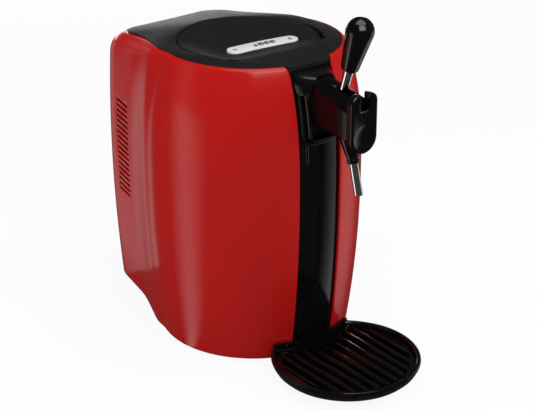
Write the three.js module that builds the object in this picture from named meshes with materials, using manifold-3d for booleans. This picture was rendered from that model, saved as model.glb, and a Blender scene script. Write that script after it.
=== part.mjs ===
// Mini keg beer dispenser: a cooled barrel for a five litre keg, with a lever tap and a drip tray.
// Millimetres, +Z up, the front towards -Y. The barrel's axis is x = y = 0 while the pieces are made,
// and the last lines move the whole group so that the origin is under the middle of its box.
import * as THREE from "three";
import { mergeVertices } from "three/addons/utils/BufferGeometryUtils.js";
import Module from "manifold-3d";

const wasm = await Module();
wasm.setup();

// Clearances and walls that many pieces share
const gap = 0.3;
const looseGap = 0.5;
const overrun = 2;
const wall = 2.5;
const weld = 0.0001;

// The barrel, a round shell that is widest at mid height
const barrel = {
  radius: 137,
  bottomRadius: 121.8,
  topRadius: 114.6,
  bottom: 6,
  widestHeight: 225,
  top: 387,
};
const barrelLowerShare = 2.2;
const barrelUpperShare = 2.8;

// The housing behind the barrel, which holds the cooler
const housing = {
  halfWidth: 115.5,
  flankReach: 128.5,
  rear: 213.5,
  middle: 45,
  waist: 4.8,
  waistSpan: 160,
  cornerBlend: 46,
  flankBlend: 10,
  valleyBlend: 26,
  liftStart: 60,
  liftSpan: 57,
  lift: 16,
};
const flankTaper = THREE.MathUtils.degToRad(11.75);
const valleyFrom = THREE.MathUtils.degToRad(75);
const valleyFull = THREE.MathUtils.degToRad(100);

// The rounded shoulder at the top of the shell, small in front and large behind
const shoulder = {
  least: 4,
  growth: 21,
  drop: 26,
  start: 20,
  span: 143,
};

// The line where the shell meets the black top, level in front and falling to the rear
const rim = {
  height: 389.2,
  fallStart: 57,
  fallBlend: 59,
};
const rimFallShare = 0.172;

// The lid's round dish and the keg's place under it, on one centre line
const dish = {
  centre: 11,
  radius: 87.3,
  gap: 1.2,
  rimHeight: 385,
  rimRise: 4,
  riseStart: 60,
  riseSpan: 90,
  below: 0.2,
  blend: 3,
  floor: 382.2,
  bowlAt: 15,
  backRise: 2.3,
  backSpan: 80,
  frontRise: 1.1,
  frontSpan: 35,
  sideRise: 8,
};
const dishFrontShare = 2.6;
const dishSideShare = 6;

const lidShape = {
  tongueBack: -60,
  tongueBackHalf: 52,
  tongueFrontHalf: 42.5,
  tongueFront: -104,
  lipHalf: 31.2,
  lipRadius: 113.2,
  skirtBottom: 373,
  lipBottom: 382.6,
  lipBack: -88,
  skirt: 2.5,
  skin: 3,
};

const cover = {
  skin: 4.5,
  collarBottom: 372,
  collarWall: 3,
  grooveDepth: 2.4,
  grooveStart: 1,
  grooveGrowth: 3.2,
  hollowRadius: 6,
  hollowDepth: 3.2,
  hollowOff: 2.2,
};
const grooveFrom = THREE.MathUtils.degToRad(90);
const grooveTo = THREE.MathUtils.degToRad(48);

const lidHinge = {
  y: 100,
  height: 382.5,
  knuckleRadius: 2.5,
  pinRadius: 1.2,
  boreGap: 0.15,
  knuckleHalf: 14,
  notchHalf: 18,
  pinHalf: 26,
  notchBack: 103.6,
  notchFloor: 377,
  lugHalf: 4.5,
  lugTop: 382.4,
};

const liner = {
  radius: 85.5,
  plugRadius: 82.5,
  bottom: 362.8,
  dishing: 6,
  dishRadius: 70,
};

const seal = {
  innerRadius: 81.5,
  radius: 86,
  height: 4.2,
};

const strip = {
  centre: -20.8,
  halfLength: 47.7,
  halfWidth: 7.2,
  thickness: 1.2,
  bow: 3.4,
  lightRadius: 3,
  lightInset: 7.4,
  lightHeight: 1.4,
};
// The strip lies slightly turned, by this much of y for each millimetre of x
const stripSlopeShare = 0.116;

// The keg well and its insulation
const well = {
  radius: 84,
  wall: 1.5,
  floor: 98.5,
  floorSkin: 1.5,
  mouthRadius: 88,
  ledge: 356.5,
  flangeRadius: 104.5,
  flangeSkin: 2,
};

const insulation = {
  radius: 104,
  bottom: 84,
};

const kegPad = {
  radius: 55,
  height: 2.4,
  holeRadius: 14,
};

const stand = {
  radius: 49,
  wall: 4,
  flangeRadius: 80,
  flangeSkin: 3,
};

const base = {
  skin: 3,
  below: 1,
  bossRadius: 12,
  edgeGap: 0.7,
};

const foot = {
  radius: 9.5,
  height: 4.7,
  chamfer: 1,
  frontX: 78,
  frontY: -60,
  rearX: 62,
  rearY: 150,
};

// The black front column
const column = {
  inset: 3.5,
  skin: 3,
  halfWidth: 31.5,
  hiddenHalf: 45,
  bottom: 8,
  top: 381.6,
  flare: 5.5,
  flareHeight: 14,
};

// The tap: its body runs forward from the column to the head. The tap's places along y,
// down to those of the nozzle, are written from the column's face at the tap's underside.
const tap = {
  halfWidth: 18,
  bottom: 319,
  crest: 371,
  crestAt: -62.4,
  wall: 4,
  back: 24.6,
  neckEnd: -49.4,
  front: -73.1,
  headHalf: 18.6,
  flangeHalf: 25,
  flangeBottom: 303,
  flangeTop: 362,
  flangeSkin: 3,
  slotHalf: 6.9,
  slotBack: -36.9,
  slotBottom: 352,
};
const crestSlopeShare = 0.16;

const tapPlate = {
  back: -73.4,
  front: -83.4,
  halfWidth: 19.6,
  bottom: 303.6,
  top: 377,
  topCorner: 10,
  edge: 2.4,
  dishRadius: 16.7,
  dishDepth: 3.6,
  dishHeight: 324,
};

const bezel = {
  halfWidth: 29.5,
  bottom: 292,
  top: 378,
  corner: 14,
  plate: 1.4,
  margin: 1.4,
  ridge: 7.2,
  ridgeWidth: 5.2,
  innerRidge: 12,
  innerWidth: 4.2,
  innerMargin: 0.4,
};

const hood = {
  front: -9.4,
  flare: 18.6,
  back: 22.6,
  baseHalf: 31.4,
  frontWall: 2.2,
  bottom: 373.6,
  rise: 1.6,
  backTop: 382,
};
const hoodNarrowingShare = 1.7;

// The lever turns on a pin across the tap's head and carries the pinch cam
const lever = {
  pivotY: -37.9,
  pivotHeight: 352,
  pinRadius: 2,
  pinHalf: 16.2,
  boreGap: 0.15,
  camRadius: 9,
  camOffset: 5,
  camHalf: 6.2,
  hubRadius: 6.4,
  socketRadius: 6,
  socketEnd: 15,
  stemStart: 15.4,
  stemLowRadius: 5.3,
  stemHighRadius: 6.3,
  stemEnd: 51,
  tenonRadius: 4,
  tenonEnd: 78,
};
const leverLean = THREE.MathUtils.degToRad(18.6);
const camAngle = THREE.MathUtils.degToRad(30);

const knob = {
  start: 51.4,
  lowRadius: 10.7,
  ballCentre: 103.4,
  ballRadius: 16.8,
  edge: 1.5,
  boreEnd: 79,
};

const leverSpring = {
  wire: 0.8,
  coilRadius: 5.4,
  turns: 3.5,
  pitch: 1.7,
  hubGap: 0.9,
};

const stopPin = {
  radius: 1.4,
  halfLength: 9.5,
  y: -78.4,
  height: 353.6,
};

const hose = {
  radius: 4,
  start: 19.6,
  bendStart: -43.4,
  bendEnd: -56,
  passGap: 5,
  endHeight: 314.5,
};

const pinchBar = {
  halfWidth: 12,
  halfDepth: 6,
  ridgeHalf: 1.6,
  ridgeHeight: 327.2,
  shoulderHeight: 334,
};

const nozzle = {
  topY: -56,
  topRadius: 12.6,
  length: 34,
  endRadius: 6.9,
  collar: 5,
  collarRadius: 7.6,
  boreRadius: 4.6,
  tubeRadius: 5.3,
  tubeWall: 1,
  tubeStart: 28,
  tubeLength: 37.6,
};
const nozzleLean = THREE.MathUtils.degToRad(15.6);

// Moves the tap's places from the column's face to the model's own y
const tapFace = column.inset - barrelRadius(tap.bottom);
function seatOnFace(sizes, ...names) {
  names.forEach((name) => {
    sizes[name] += tapFace;
  });
}
seatOnFace(tap, "crestAt", "back", "neckEnd", "front", "slotBack");
seatOnFace(tapPlate, "back", "front");
seatOnFace(hood, "front", "flare", "back");
seatOnFace(lever, "pivotY");
seatOnFace(stopPin, "y");
seatOnFace(hose, "start", "bendStart", "bendEnd");
seatOnFace(nozzle, "topY");

// The drip tray, a round bowl cut to fit round the barrel
const tray = {
  centre: -187.5,
  radius: 93,
  height: 26,
  footRadius: 58,
  bellyRadius: 84,
  bellyHeight: 9,
  rimWidth: 4.5,
  floor: 3,
  ledge: 16.5,
  ledgeWidth: 3.5,
  innerFootRadius: 62,
  bodyGap: 3.2,
  backWall: 5.2,
  backHeight: 29.5,
  tongueHalf: 24,
  tongueTop: 4.4,
  tongueBottom: 0.6,
  tongueLength: 24,
};

const grate = {
  margin: 1,
  thickness: 3.2,
  ribRise: 2.6,
  ribWidth: 8.2,
  ribChamfer: 2,
  slotWidth: 6.4,
  border: 5.5,
  ribs: 11,
};

// The rear panel and what is mounted on it
const panel = {
  halfWidth: 62,
  bottom: 34,
  top: 322,
  corner: 12,
  inset: 1.2,
  skin: 2.6,
  grilleHalf: 40,
  grilleSlot: 4,
  grillePitch: 8,
  grilleSlots: 11,
  screwInset: 8,
  screwRadius: 3.4,
  screwHeight: 2,
  shankRadius: 1.5,
  shankLength: 7,
};

const louvres = {
  count: 18,
  pitch: 7.35,
  height: 3.4,
  top: 285,
  frontY: 128,
  rearY: 165,
  depth: 6,
};

const cooler = {
  height: 210,
  blockHalf: 30,
  blockBack: 118,
  moduleHalf: 20,
  moduleThickness: 4,
  sinkHalfWidth: 50,
  sinkHalfHeight: 55,
  sinkBase: 7.5,
  finBack: 183,
  finThickness: 1.6,
  fins: 13,
};

const fan = {
  halfSize: 46,
  depth: 25,
  corner: 6,
  boreRadius: 44,
  hubRadius: 17,
  hubPlate: 3,
  strutHalf: 2,
  rotorRadius: 42,
  rotorHub: 18,
  rotorDepth: 19,
  bladeThickness: 2,
  shaftRadius: 2,
  blades: 7,
};
const bladePitch = THREE.MathUtils.degToRad(38);

const supply = {
  halfWidth: 40,
  front: 135,
  back: 195,
  height: 36,
  corner: 4,
};

const board = {
  halfWidth: 38,
  y: 108,
  thickness: 1.6,
  height: 55,
  partHalf: 6,
  partHeight: 9,
  capRadius: 5,
};

const powerSwitch = {
  x: -28,
  height: 88,
  halfWidth: 10.5,
  halfHeight: 15,
  proud: 1.4,
  frame: 2,
  depth: 14,
  rockerProud: 2.2,
  rockerDepth: 5,
};
const rockerTilt = THREE.MathUtils.degToRad(7);

const inlet = {
  x: 28,
  height: 88,
  halfWidth: 13,
  halfHeight: 9,
  proud: 1,
  depth: 15,
  wall: 2.2,
  pinRadius: 1.2,
  pinSpacing: 4.3,
  pinLength: 9,
};

// Facet counts
const roundSides = 32;
const midSides = 18;
const smallSides = 10;
const shellColumns = 26;
const shellRows = 7;
const shoulderRows = 3;
const patchSteps = 6;
const lidColumns = 8;
const lidRows = 22;
const grooveSteps = 8;
const baseRows = 16;
const fineSteps = 240;
const shellRowsShare = 0.72;

// Solids made from three.js geometry, always with their faces outwards
function solid(geometry) {
  const bare = geometry.index ? geometry.toNonIndexed() : geometry.clone();
  bare.deleteAttribute("normal");
  bare.deleteAttribute("uv");
  const merged = mergeVertices(bare, weld);
  const positions = merged.attributes.position.array;
  const triangles = [];
  for (let i = 0; i < merged.index.count; i += 3) {
    const [a, b, c] = merged.index.array.slice(i, i + 3);
    if (a !== b && b !== c && c !== a) triangles.push(a, b, c);
  }
  if (signedVolume(positions, triangles) < 0) triangles.reverse();
  const mesh = new wasm.Mesh({
    numProp: 3,
    vertProperties: positions,
    triVerts: new Uint32Array(triangles),
  });
  return new wasm.Manifold(mesh);
}

function signedVolume(positions, triangles) {
  const corner = (i) => new THREE.Vector3().fromArray(positions, 3 * i);
  let six = 0;
  for (let i = 0; i < triangles.length; i += 3) {
    const a = corner(triangles[i]);
    const b = corner(triangles[i + 1]);
    const c = corner(triangles[i + 2]);
    six += a.dot(b.cross(c));
  }
  return six;
}

function geometryOf(made) {
  const mesh = made.getMesh();
  const geometry = new THREE.BufferGeometry();
  const positions = new Float32Array(mesh.vertProperties);
  geometry.setAttribute("position", new THREE.BufferAttribute(positions, 3));
  geometry.setIndex(new THREE.BufferAttribute(new Uint32Array(mesh.triVerts), 1));
  return geometry;
}

function cut(made, ...tools) {
  return tools.reduce((left, tool) => left.subtract(tool), made);
}

function join(made, ...others) {
  return others.reduce((sum, other) => sum.add(other), made);
}

function box(x0, x1, y0, y1, z0, z1) {
  const geometry = new THREE.BoxGeometry(x1 - x0, y1 - y0, z1 - z0);
  geometry.translate((x0 + x1) / 2, (y0 + y1) / 2, (z0 + z1) / 2);
  return solid(geometry);
}

// A round rod or cone between two points
function rod(from, to, radius, sides, endRadius = radius) {
  const along = new THREE.Vector3().subVectors(to, from);
  const geometry = new THREE.CylinderGeometry(endRadius, radius, along.length(), sides);
  const up = new THREE.Vector3(0, 1, 0);
  geometry.applyQuaternion(new THREE.Quaternion().setFromUnitVectors(up, along.clone().normalize()));
  const middle = new THREE.Vector3().addVectors(from, to).multiplyScalar(1 / 2);
  geometry.translate(middle.x, middle.y, middle.z);
  return solid(geometry);
}

function spot(x, y, z) {
  return new THREE.Vector3(x, y, z);
}

function drum(y, radius, z0, z1, sides = roundSides) {
  return rod(spot(0, y, z0), spot(0, y, z1), radius, sides);
}

// A closed profile of [radius, height] pairs turned about the vertical line x = 0 at y
function turned(profile, y, sides = roundSides) {
  const points = profile.map(([r, z]) => new THREE.Vector2(r, z));
  points.push(points[0].clone());
  const geometry = new THREE.LatheGeometry(points, sides);
  geometry.rotateX(Math.PI / 2);
  geometry.translate(0, y, 0);
  return solid(geometry);
}

// The same, about an axis through a point, with the heights measured along a direction
function turnedAlong(profile, from, direction, sides) {
  const points = profile.map(([r, s]) => new THREE.Vector2(r, s));
  points.push(points[0].clone());
  const geometry = new THREE.LatheGeometry(points, sides);
  const up = new THREE.Vector3(0, 1, 0);
  geometry.applyQuaternion(new THREE.Quaternion().setFromUnitVectors(up, direction));
  geometry.translate(from.x, from.y, from.z);
  return solid(geometry);
}

// Prisms of a flat outline: upright, along Y with [x, z] points, and along X with [y, z] points
function upright(shape, z0, z1, curve = smallSides) {
  const geometry = new THREE.ExtrudeGeometry(shape, {
    depth: z1 - z0,
    bevelEnabled: false,
    curveSegments: curve,
  });
  geometry.translate(0, 0, z0);
  return solid(geometry);
}

function alongY(shape, y0, y1, curve = smallSides) {
  const geometry = new THREE.ExtrudeGeometry(shape, {
    depth: y1 - y0,
    bevelEnabled: false,
    curveSegments: curve,
  });
  geometry.rotateX(Math.PI / 2);
  geometry.translate(0, y1, 0);
  return solid(geometry);
}

function alongX(points, halfWidth) {
  const shape = new THREE.Shape(points.map(([y, z]) => new THREE.Vector2(y, z)));
  const geometry = new THREE.ExtrudeGeometry(shape, { depth: 2 * halfWidth, bevelEnabled: false });
  const turn = new THREE.Matrix4().makeBasis(spot(0, 1, 0), spot(0, 0, 1), spot(1, 0, 0));
  geometry.applyMatrix4(turn);
  geometry.translate(-halfWidth, 0, 0);
  return solid(geometry);
}

function roundedRectangle(x0, x1, y0, y1, radius) {
  const shape = new THREE.Shape();
  shape.moveTo(x0 + radius, y0);
  shape.lineTo(x1 - radius, y0);
  shape.absarc(x1 - radius, y0 + radius, radius, -Math.PI / 2, 0);
  shape.lineTo(x1, y1 - radius);
  shape.absarc(x1 - radius, y1 - radius, radius, 0, Math.PI / 2);
  shape.lineTo(x0 + radius, y1);
  shape.absarc(x0 + radius, y1 - radius, radius, Math.PI / 2, Math.PI);
  shape.lineTo(x0, y0 + radius);
  shape.absarc(x0 + radius, y0 + radius, radius, Math.PI, (3 * Math.PI) / 2);
  return shape;
}

function geometryFrom(points, triangles) {
  const geometry = new THREE.BufferGeometry();
  const flat = new Float32Array(points.flatMap((p) => [p.x, p.y, p.z]));
  geometry.setAttribute("position", new THREE.BufferAttribute(flat, 3));
  geometry.setIndex(triangles);
  return geometry;
}

// A wall between two grids of points of the same size, closed along its four edges
function wallBetween(outer, inner) {
  const columns = outer.length;
  const rows = outer[0].length;
  const points = [...outer.flat(), ...inner.flat()];
  const half = columns * rows;
  const at = (i, j, side) => side * half + i * rows + j;
  const triangles = [];
  const quad = (a, b, c, d) => triangles.push(a, b, c, a, c, d);
  for (let i = 0; i + 1 < columns; i++) {
    for (let j = 0; j + 1 < rows; j++) {
      quad(at(i, j, 0), at(i + 1, j, 0), at(i + 1, j + 1, 0), at(i, j + 1, 0));
      quad(at(i, j, 1), at(i, j + 1, 1), at(i + 1, j + 1, 1), at(i + 1, j, 1));
    }
    quad(at(i, 0, 1), at(i + 1, 0, 1), at(i + 1, 0, 0), at(i, 0, 0));
    quad(at(i, rows - 1, 0), at(i + 1, rows - 1, 0), at(i + 1, rows - 1, 1), at(i, rows - 1, 1));
  }
  for (let j = 0; j + 1 < rows; j++) {
    quad(at(0, j, 0), at(0, j + 1, 0), at(0, j + 1, 1), at(0, j, 1));
    quad(at(columns - 1, j, 1), at(columns - 1, j + 1, 1), at(columns - 1, j + 1, 0), at(columns - 1, j, 0));
  }
  return solid(geometryFrom(points, triangles));
}

// Closed loops of as many points each, joined in order. A ring of loops closes on itself,
// and a stack has its two ends closed by fans.
function loopsJoined(loops, ring) {
  const count = loops[0].length;
  const points = loops.flat();
  const triangles = [];
  const last = ring ? loops.length : loops.length - 1;
  for (let i = 0; i < last; i++) {
    const next = (i + 1) % loops.length;
    for (let j = 0; j < count; j++) {
      const k = (j + 1) % count;
      const [a, b, c, d] = [i * count + j, i * count + k, next * count + k, next * count + j];
      triangles.push(a, b, c, a, c, d);
    }
  }
  if (!ring) {
    [0, loops.length - 1].forEach((end, side) => {
      const middle = new THREE.Vector3();
      loops[end].forEach((p) => middle.add(p));
      points.push(middle.multiplyScalar(1 / count));
      for (let j = 0; j < count; j++) {
        const pair = [end * count + j, end * count + ((j + 1) % count)];
        if (side === 0) pair.reverse();
        triangles.push(points.length - 1, ...pair);
      }
    });
  }
  return solid(geometryFrom(points, triangles));
}

function smoothStep(t) {
  const s = THREE.MathUtils.clamp(t, 0, 1);
  return s * s * (3 - 2 * s);
}

function softLess(a, b, blend) {
  const near = Math.max(blend - Math.abs(a - b), 0) / Math.max(blend, weld);
  return Math.min(a, b) - (near * near * blend) / 4;
}

function softMore(a, b, blend) {
  return -softLess(-a, -b, blend);
}

function steps(count) {
  return Array.from({ length: count + 1 }, (_, i) => i / count);
}

// The shell's shape
function barrelRadius(z) {
  if (z < barrel.widestHeight) {
    const t = (barrel.widestHeight - z) / (barrel.widestHeight - barrel.bottom);
    return barrel.radius - (barrel.radius - barrel.bottomRadius) * Math.pow(t, barrelLowerShare);
  }
  const t = (z - barrel.widestHeight) / (barrel.top - barrel.widestHeight);
  return barrel.radius - (barrel.radius - barrel.topRadius) * Math.pow(t, barrelUpperShare);
}

function housingSwell(z) {
  return -housing.waist * Math.pow((z - barrel.widestHeight) / housing.waistSpan, 2);
}

function housingRear(z) {
  return housing.rear + housingSwell(z);
}

// Distance from the housing's middle line to the shell, at an angle from the front and a height
function reach(angle, z) {
  const ahead = Math.cos(angle);
  const aside = Math.sin(angle);
  const swell = housingSwell(z);
  const far = housing.rear * shellColumns;
  const round = barrelRadius(z);
  const offAxis = housing.middle * aside;
  const toBarrel = housing.middle * ahead + Math.sqrt(round * round - offAxis * offAxis);
  const flankRun = Math.cos(flankTaper) * aside - Math.sin(flankTaper) * ahead;
  const flankReach = housing.flankReach + swell - Math.sin(flankTaper) * housing.middle;
  const toFlank = flankRun > weld ? Math.min(flankReach / flankRun, far) : far;
  const toSide = aside > weld ? Math.min((housing.halfWidth + swell) / aside, far) : far;
  const toRear = ahead < -weld ? Math.min((housingRear(z) - housing.middle) / -ahead, far) : far;
  const toFront = ahead > weld ? Math.min(housing.middle / ahead, far) : far;
  const sides = Math.min(softLess(toFlank, toSide, housing.flankBlend), toFront);
  const toHousing = softLess(sides, toRear, housing.cornerBlend);
  const valley = smoothStep((angle - valleyFrom) / (valleyFull - valleyFrom));
  return softMore(toBarrel, toHousing, housing.valleyBlend * valley);
}

function outline(angle, z, inset) {
  const r = reach(angle, z) - inset;
  return spot(r * Math.sin(angle), housing.middle - r * Math.cos(angle), z);
}

function rimHeight(y) {
  const past = y - rim.fallStart;
  const fall = (past + Math.hypot(past, rim.fallBlend)) / 2;
  return rim.height - rimFallShare * fall;
}

function bottomHeight(y) {
  return barrel.bottom + housing.lift * smoothStep((y - housing.liftStart) / housing.liftSpan);
}

// The angles at which the skin is drawn, closer together where it turns more sharply
function spreadAngles() {
  const start = columnOpeningStart();
  const fine = steps(fineSteps).map((t) => start + (Math.PI - start) * t);
  const points = fine.map((angle) => outline(angle, barrel.widestHeight, 0));
  const sums = [0];
  for (let i = 1; i < fine.length; i++) {
    const run = points[i].clone().sub(points[i - 1]);
    const before = i > 1 ? points[i - 1].clone().sub(points[i - 2]) : run;
    sums.push(sums[i - 1] + run.length() + barrel.radius * run.angleTo(before));
  }
  const total = sums[sums.length - 1];
  return steps(shellColumns).map((t) => {
    const i = Math.max(sums.findIndex((sum) => sum >= t * total - weld), 0);
    return fine[i];
  });
}

const skinAngles = spreadAngles();

function shoulderAt(angle) {
  const y = outline(angle, barrel.top, 0).y;
  const share = smoothStep((y - shoulder.start) / shoulder.span);
  const inset = shoulder.least + shoulder.growth * share;
  const drop = shoulder.least + shoulder.drop * share;
  const edge = outline(angle, barrel.top, inset);
  return { inset, drop, top: rimHeight(edge.y) };
}

// A point of the outer skin. up runs from 0 at the bottom edge to 1 where the shoulder starts,
// and to 2 at the rim.
function skin(angle, up) {
  const turn = shoulderAt(angle);
  const start = turn.top - turn.drop;
  if (up <= 1) {
    const low = bottomHeight(outline(angle, barrel.bottom, 0).y);
    return outline(angle, low + (start - low) * up, 0);
  }
  const bend = ((up - 1) * Math.PI) / 2;
  const inset = turn.inset * (1 - Math.cos(bend));
  return outline(angle, start + turn.drop * Math.sin(bend), inset);
}

function skinNormal(angle, up) {
  const nudge = 0.002;
  const low = Math.max(up - nudge, 0);
  const high = Math.min(up + nudge, 2);
  const round = skin(angle + nudge, up).sub(skin(angle - nudge, up));
  const rise = skin(angle, high).sub(skin(angle, low));
  return round.cross(rise).normalize();
}

function skinInside(angle, up, depth) {
  return skin(angle, up).addScaledVector(skinNormal(angle, up), -depth);
}

function mirrored(made) {
  return made.mirror([1, 0, 0]);
}

// The opening between the two shells in front, a little wider at its rounded top corners
function columnOpening(margin) {
  const half = column.halfWidth + margin;
  const top = rim.height + overrun;
  const flareStart = rim.height - column.flareHeight;
  const shape = new THREE.Shape();
  shape.moveTo(-half, 0);
  shape.lineTo(half, 0);
  shape.lineTo(half, flareStart);
  shape.quadraticCurveTo(half, rim.height, half + column.flare, rim.height);
  shape.lineTo(half + column.flare, top);
  shape.lineTo(-half - column.flare, top);
  shape.lineTo(-half - column.flare, rim.height);
  shape.quadraticCurveTo(-half, rim.height, -half, flareStart);
  return alongY(shape, -barrel.radius - overrun, 0, smallSides / 2);
}

function panelOpening(margin) {
  const shape = roundedRectangle(
    -panel.halfWidth - margin,
    panel.halfWidth + margin,
    panel.bottom - margin,
    panel.top + margin,
    panel.corner + margin,
  );
  return alongY(shape, cooler.finBack, housing.rear + overrun, smallSides / 2);
}

// How far out the flank stands along the louvres, at a height: the least and the most
function flankAt(z) {
  const found = steps(fineSteps)
    .map((t) => outline(Math.PI * t, z, 0))
    .filter((p) => p.y > louvres.frontY && p.y < louvres.rearY)
    .map((p) => p.x);
  return [Math.min(...found), Math.max(...found)];
}

// Eighteen level slots through the housing's flank
function louvreSlots() {
  const made = [];
  for (let i = 0; i < louvres.count; i++) {
    const top = louvres.top - i * louvres.pitch;
    const low = top - louvres.height;
    const [least, most] = flankAt(low);
    made.push(box(least - louvres.depth, most + overrun, louvres.frontY, louvres.rearY, low, top));
  }
  return made;
}

function rightShell() {
  const low = steps(shellRows).map((t) => Math.pow(t, shellRowsShare));
  const ups = [...low, ...steps(shoulderRows).slice(1).map((t) => 1 + t)];
  const outer = skinAngles.map((angle) => ups.map((up) => skin(angle, up)));
  const inner = skinAngles.map((angle) => ups.map((up) => skinInside(angle, up, wall)));
  const shell = wallBetween(outer, inner);
  const seam = box(-overrun, gap / 2, 0, housing.rear + overrun, 0, rim.height);
  return cut(shell, seam, columnOpening(gap), panelOpening(gap), ...louvreSlots());
}

// The angle, seen from the housing's middle, that lies safely inside the front opening
function columnOpeningStart() {
  const half = column.halfWidth / 2;
  return Math.atan2(half, housing.middle + barrel.bottomRadius);
}

function columnFace(x, z, proud) {
  const r = barrelRadius(z) - column.inset + proud;
  return spot(x, -Math.sqrt(r * r - x * x), z);
}

// A curved patch of the column's face, between two depths
function columnPatch(half, z0, z1, front, back, across, upward) {
  const xs = steps(across).map((t) => half * (2 * t - 1));
  const zs = steps(upward).map((t) => z0 + (z1 - z0) * t);
  const outer = xs.map((x) => zs.map((z) => columnFace(x, z, front)));
  const inner = xs.map((x) => zs.map((z) => columnFace(x, z, back)));
  return wallBetween(outer, inner);
}

function crestAt(y) {
  return tap.crest + (Math.min(y, hood.front) - tap.crestAt) * crestSlopeShare;
}

// The neck's section: flat sides and bottom, and a half round top, as [x, z] points
function neckLoop(y, half, bottom, crest, corner = 0) {
  const centre = crest - half;
  const loop = [];
  const low = bottom + corner;
  loop.push([half - corner, bottom], [half, low]);
  for (let i = 0; i <= smallSides; i++) {
    const a = (Math.PI * i) / smallSides;
    loop.push([half * Math.cos(a), centre + half * Math.sin(a)]);
  }
  loop.push([-half, low], [-half + corner, bottom]);
  return loop.map(([x, z]) => spot(x, y, z));
}

function neckSolid(grow, from, to) {
  const half = tap.halfWidth + grow;
  const corner = tap.wall / 2;
  const ys = from > hood.front && to < hood.front ? [from, hood.front, to] : [from, to];
  const loops = ys.map((y) => neckLoop(y, half, tap.bottom - grow, crestAt(y) + grow, corner));
  return loopsJoined(loops, false);
}

function frontColumn() {
  const face = columnPatch(column.hiddenHalf, column.bottom, column.top, 0, -column.skin, patchSteps, patchSteps);
  return cut(face, neckSolid(gap, tap.back, tap.neckEnd));
}

function bezelShape(margin) {
  const corner = bezel.corner - margin;
  return roundedRectangle(
    -bezel.halfWidth + margin,
    bezel.halfWidth - margin,
    bezel.bottom + margin,
    bezel.top - margin,
    Math.max(corner, bezel.corner / 2),
  );
}

function bezelRing(margin, width, proud) {
  const outer = alongY(bezelShape(margin), -barrel.radius - overrun, 0, smallSides / 4);
  const inner = alongY(bezelShape(margin + width), -barrel.radius - 2 * overrun, overrun, smallSides / 4);
  const z0 = bezel.bottom - overrun;
  const z1 = bezel.top + overrun;
  const patch = columnPatch(bezel.halfWidth + overrun, z0, z1, proud, gap, patchSteps, patchSteps / 2);
  return patch.intersect(cut(outer, inner));
}

// The hood: a horn that narrows from the column's width to the neck
function hoodLoop(y) {
  const t = Math.max((y - hood.flare) / (hood.front - hood.flare), 0);
  const end = tap.halfWidth + hood.frontWall;
  const half = hood.baseHalf - (hood.baseHalf - end) * Math.pow(t, hoodNarrowingShare);
  const frontTop = crestAt(hood.front) + hood.rise;
  const top = hood.backTop + (frontTop - hood.backTop) * t;
  const loop = [spot(half, y, hood.bottom)];
  const square = 3 + (1 - t);
  for (let i = 0; i <= smallSides; i++) {
    const a = (Math.PI * i) / smallSides;
    const c = Math.cos(a);
    const s = Math.sin(a);
    const x = half * Math.sign(c) * Math.pow(Math.abs(c), 2 / square);
    loop.push(spot(x, y, hood.bottom + (top - hood.bottom) * Math.pow(s, 2 / square)));
  }
  loop.push(spot(-half, y, hood.bottom));
  return loop;
}

function tapBezel() {
  const flat = bezelRing(0, bezel.halfWidth - tap.halfWidth - bezel.innerMargin, bezel.plate);
  const ridge = bezelRing(bezel.margin, bezel.ridgeWidth, bezel.ridge);
  const innerAt = bezel.halfWidth - tap.halfWidth - bezel.innerWidth - bezel.innerMargin;
  const inner = bezelRing(innerAt, bezel.innerWidth, bezel.innerRidge);
  const ys = steps(patchSteps / 2).map((t) => hood.back + (hood.front - hood.back) * t);
  const horn = loopsJoined(ys.map(hoodLoop), false);
  const z0 = bezel.bottom - 2 * overrun;
  const behind = columnPatch(column.hiddenHalf, z0, rim.height, gap, -barrel.radius / 3, patchSteps, patchSteps);
  const under = box(-barrel.radius, barrel.radius, -barrel.radius - tap.wall, 0, 0, hood.bottom + gap);
  const made = join(ridge.intersect(under), flat.intersect(under), inner.intersect(under), horn);
  const above = box(-barrel.radius, barrel.radius, -barrel.radius, 0, lidShape.lipBottom - gap, rim.height);
  return cut(made, behind, above, neckSolid(gap, 0, hood.front - overrun));
}

// Points in the tap's mid plane
function onLever(distance) {
  const y = lever.pivotY - distance * Math.sin(leverLean);
  return spot(0, y, lever.pivotHeight + distance * Math.cos(leverLean));
}

function leverDirection() {
  return spot(0, -Math.sin(leverLean), Math.cos(leverLean));
}

function nozzleDirection() {
  return spot(0, -Math.sin(nozzleLean), -Math.cos(nozzleLean));
}

function acrossTap(y, z, radius, half, sides) {
  return rod(spot(-half, y, z), spot(half, y, z), radius, sides);
}

function headLoop(y) {
  return neckLoop(y, tap.headHalf, tap.bottom, crestAt(y) + gap, tap.wall / 2);
}

function tapBody() {
  const neck = neckSolid(0, tap.back, tap.neckEnd);
  const head = loopsJoined([headLoop(tap.neckEnd + overrun), headLoop(tap.front)], false);
  const flangeShape = roundedRectangle(
    -tap.flangeHalf,
    tap.flangeHalf,
    tap.flangeBottom,
    tap.flangeTop,
    tap.wall,
  );
  const flange = alongY(flangeShape, tap.back - tap.flangeSkin, tap.back, smallSides / 4);
  const inside = neckSolid(-tap.wall, tap.back + overrun, tap.front - overrun);
  const slot = box(
    -tap.slotHalf,
    tap.slotHalf,
    tap.front - overrun,
    tap.slotBack,
    tap.slotBottom,
    rim.height,
  );
  const drain = rod(
    spot(0, nozzle.topY, tap.bottom - overrun),
    spot(0, nozzle.topY, tap.bottom + 2 * tap.wall),
    hose.radius + hose.passGap,
    smallSides,
  );
  const pinHole = acrossTap(
    lever.pivotY,
    lever.pivotHeight,
    lever.pinRadius + lever.boreGap,
    lever.pinHalf + gap,
    smallSides,
  );
  return cut(join(neck, head, flange), inside, slot, drain, pinHole);
}

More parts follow.
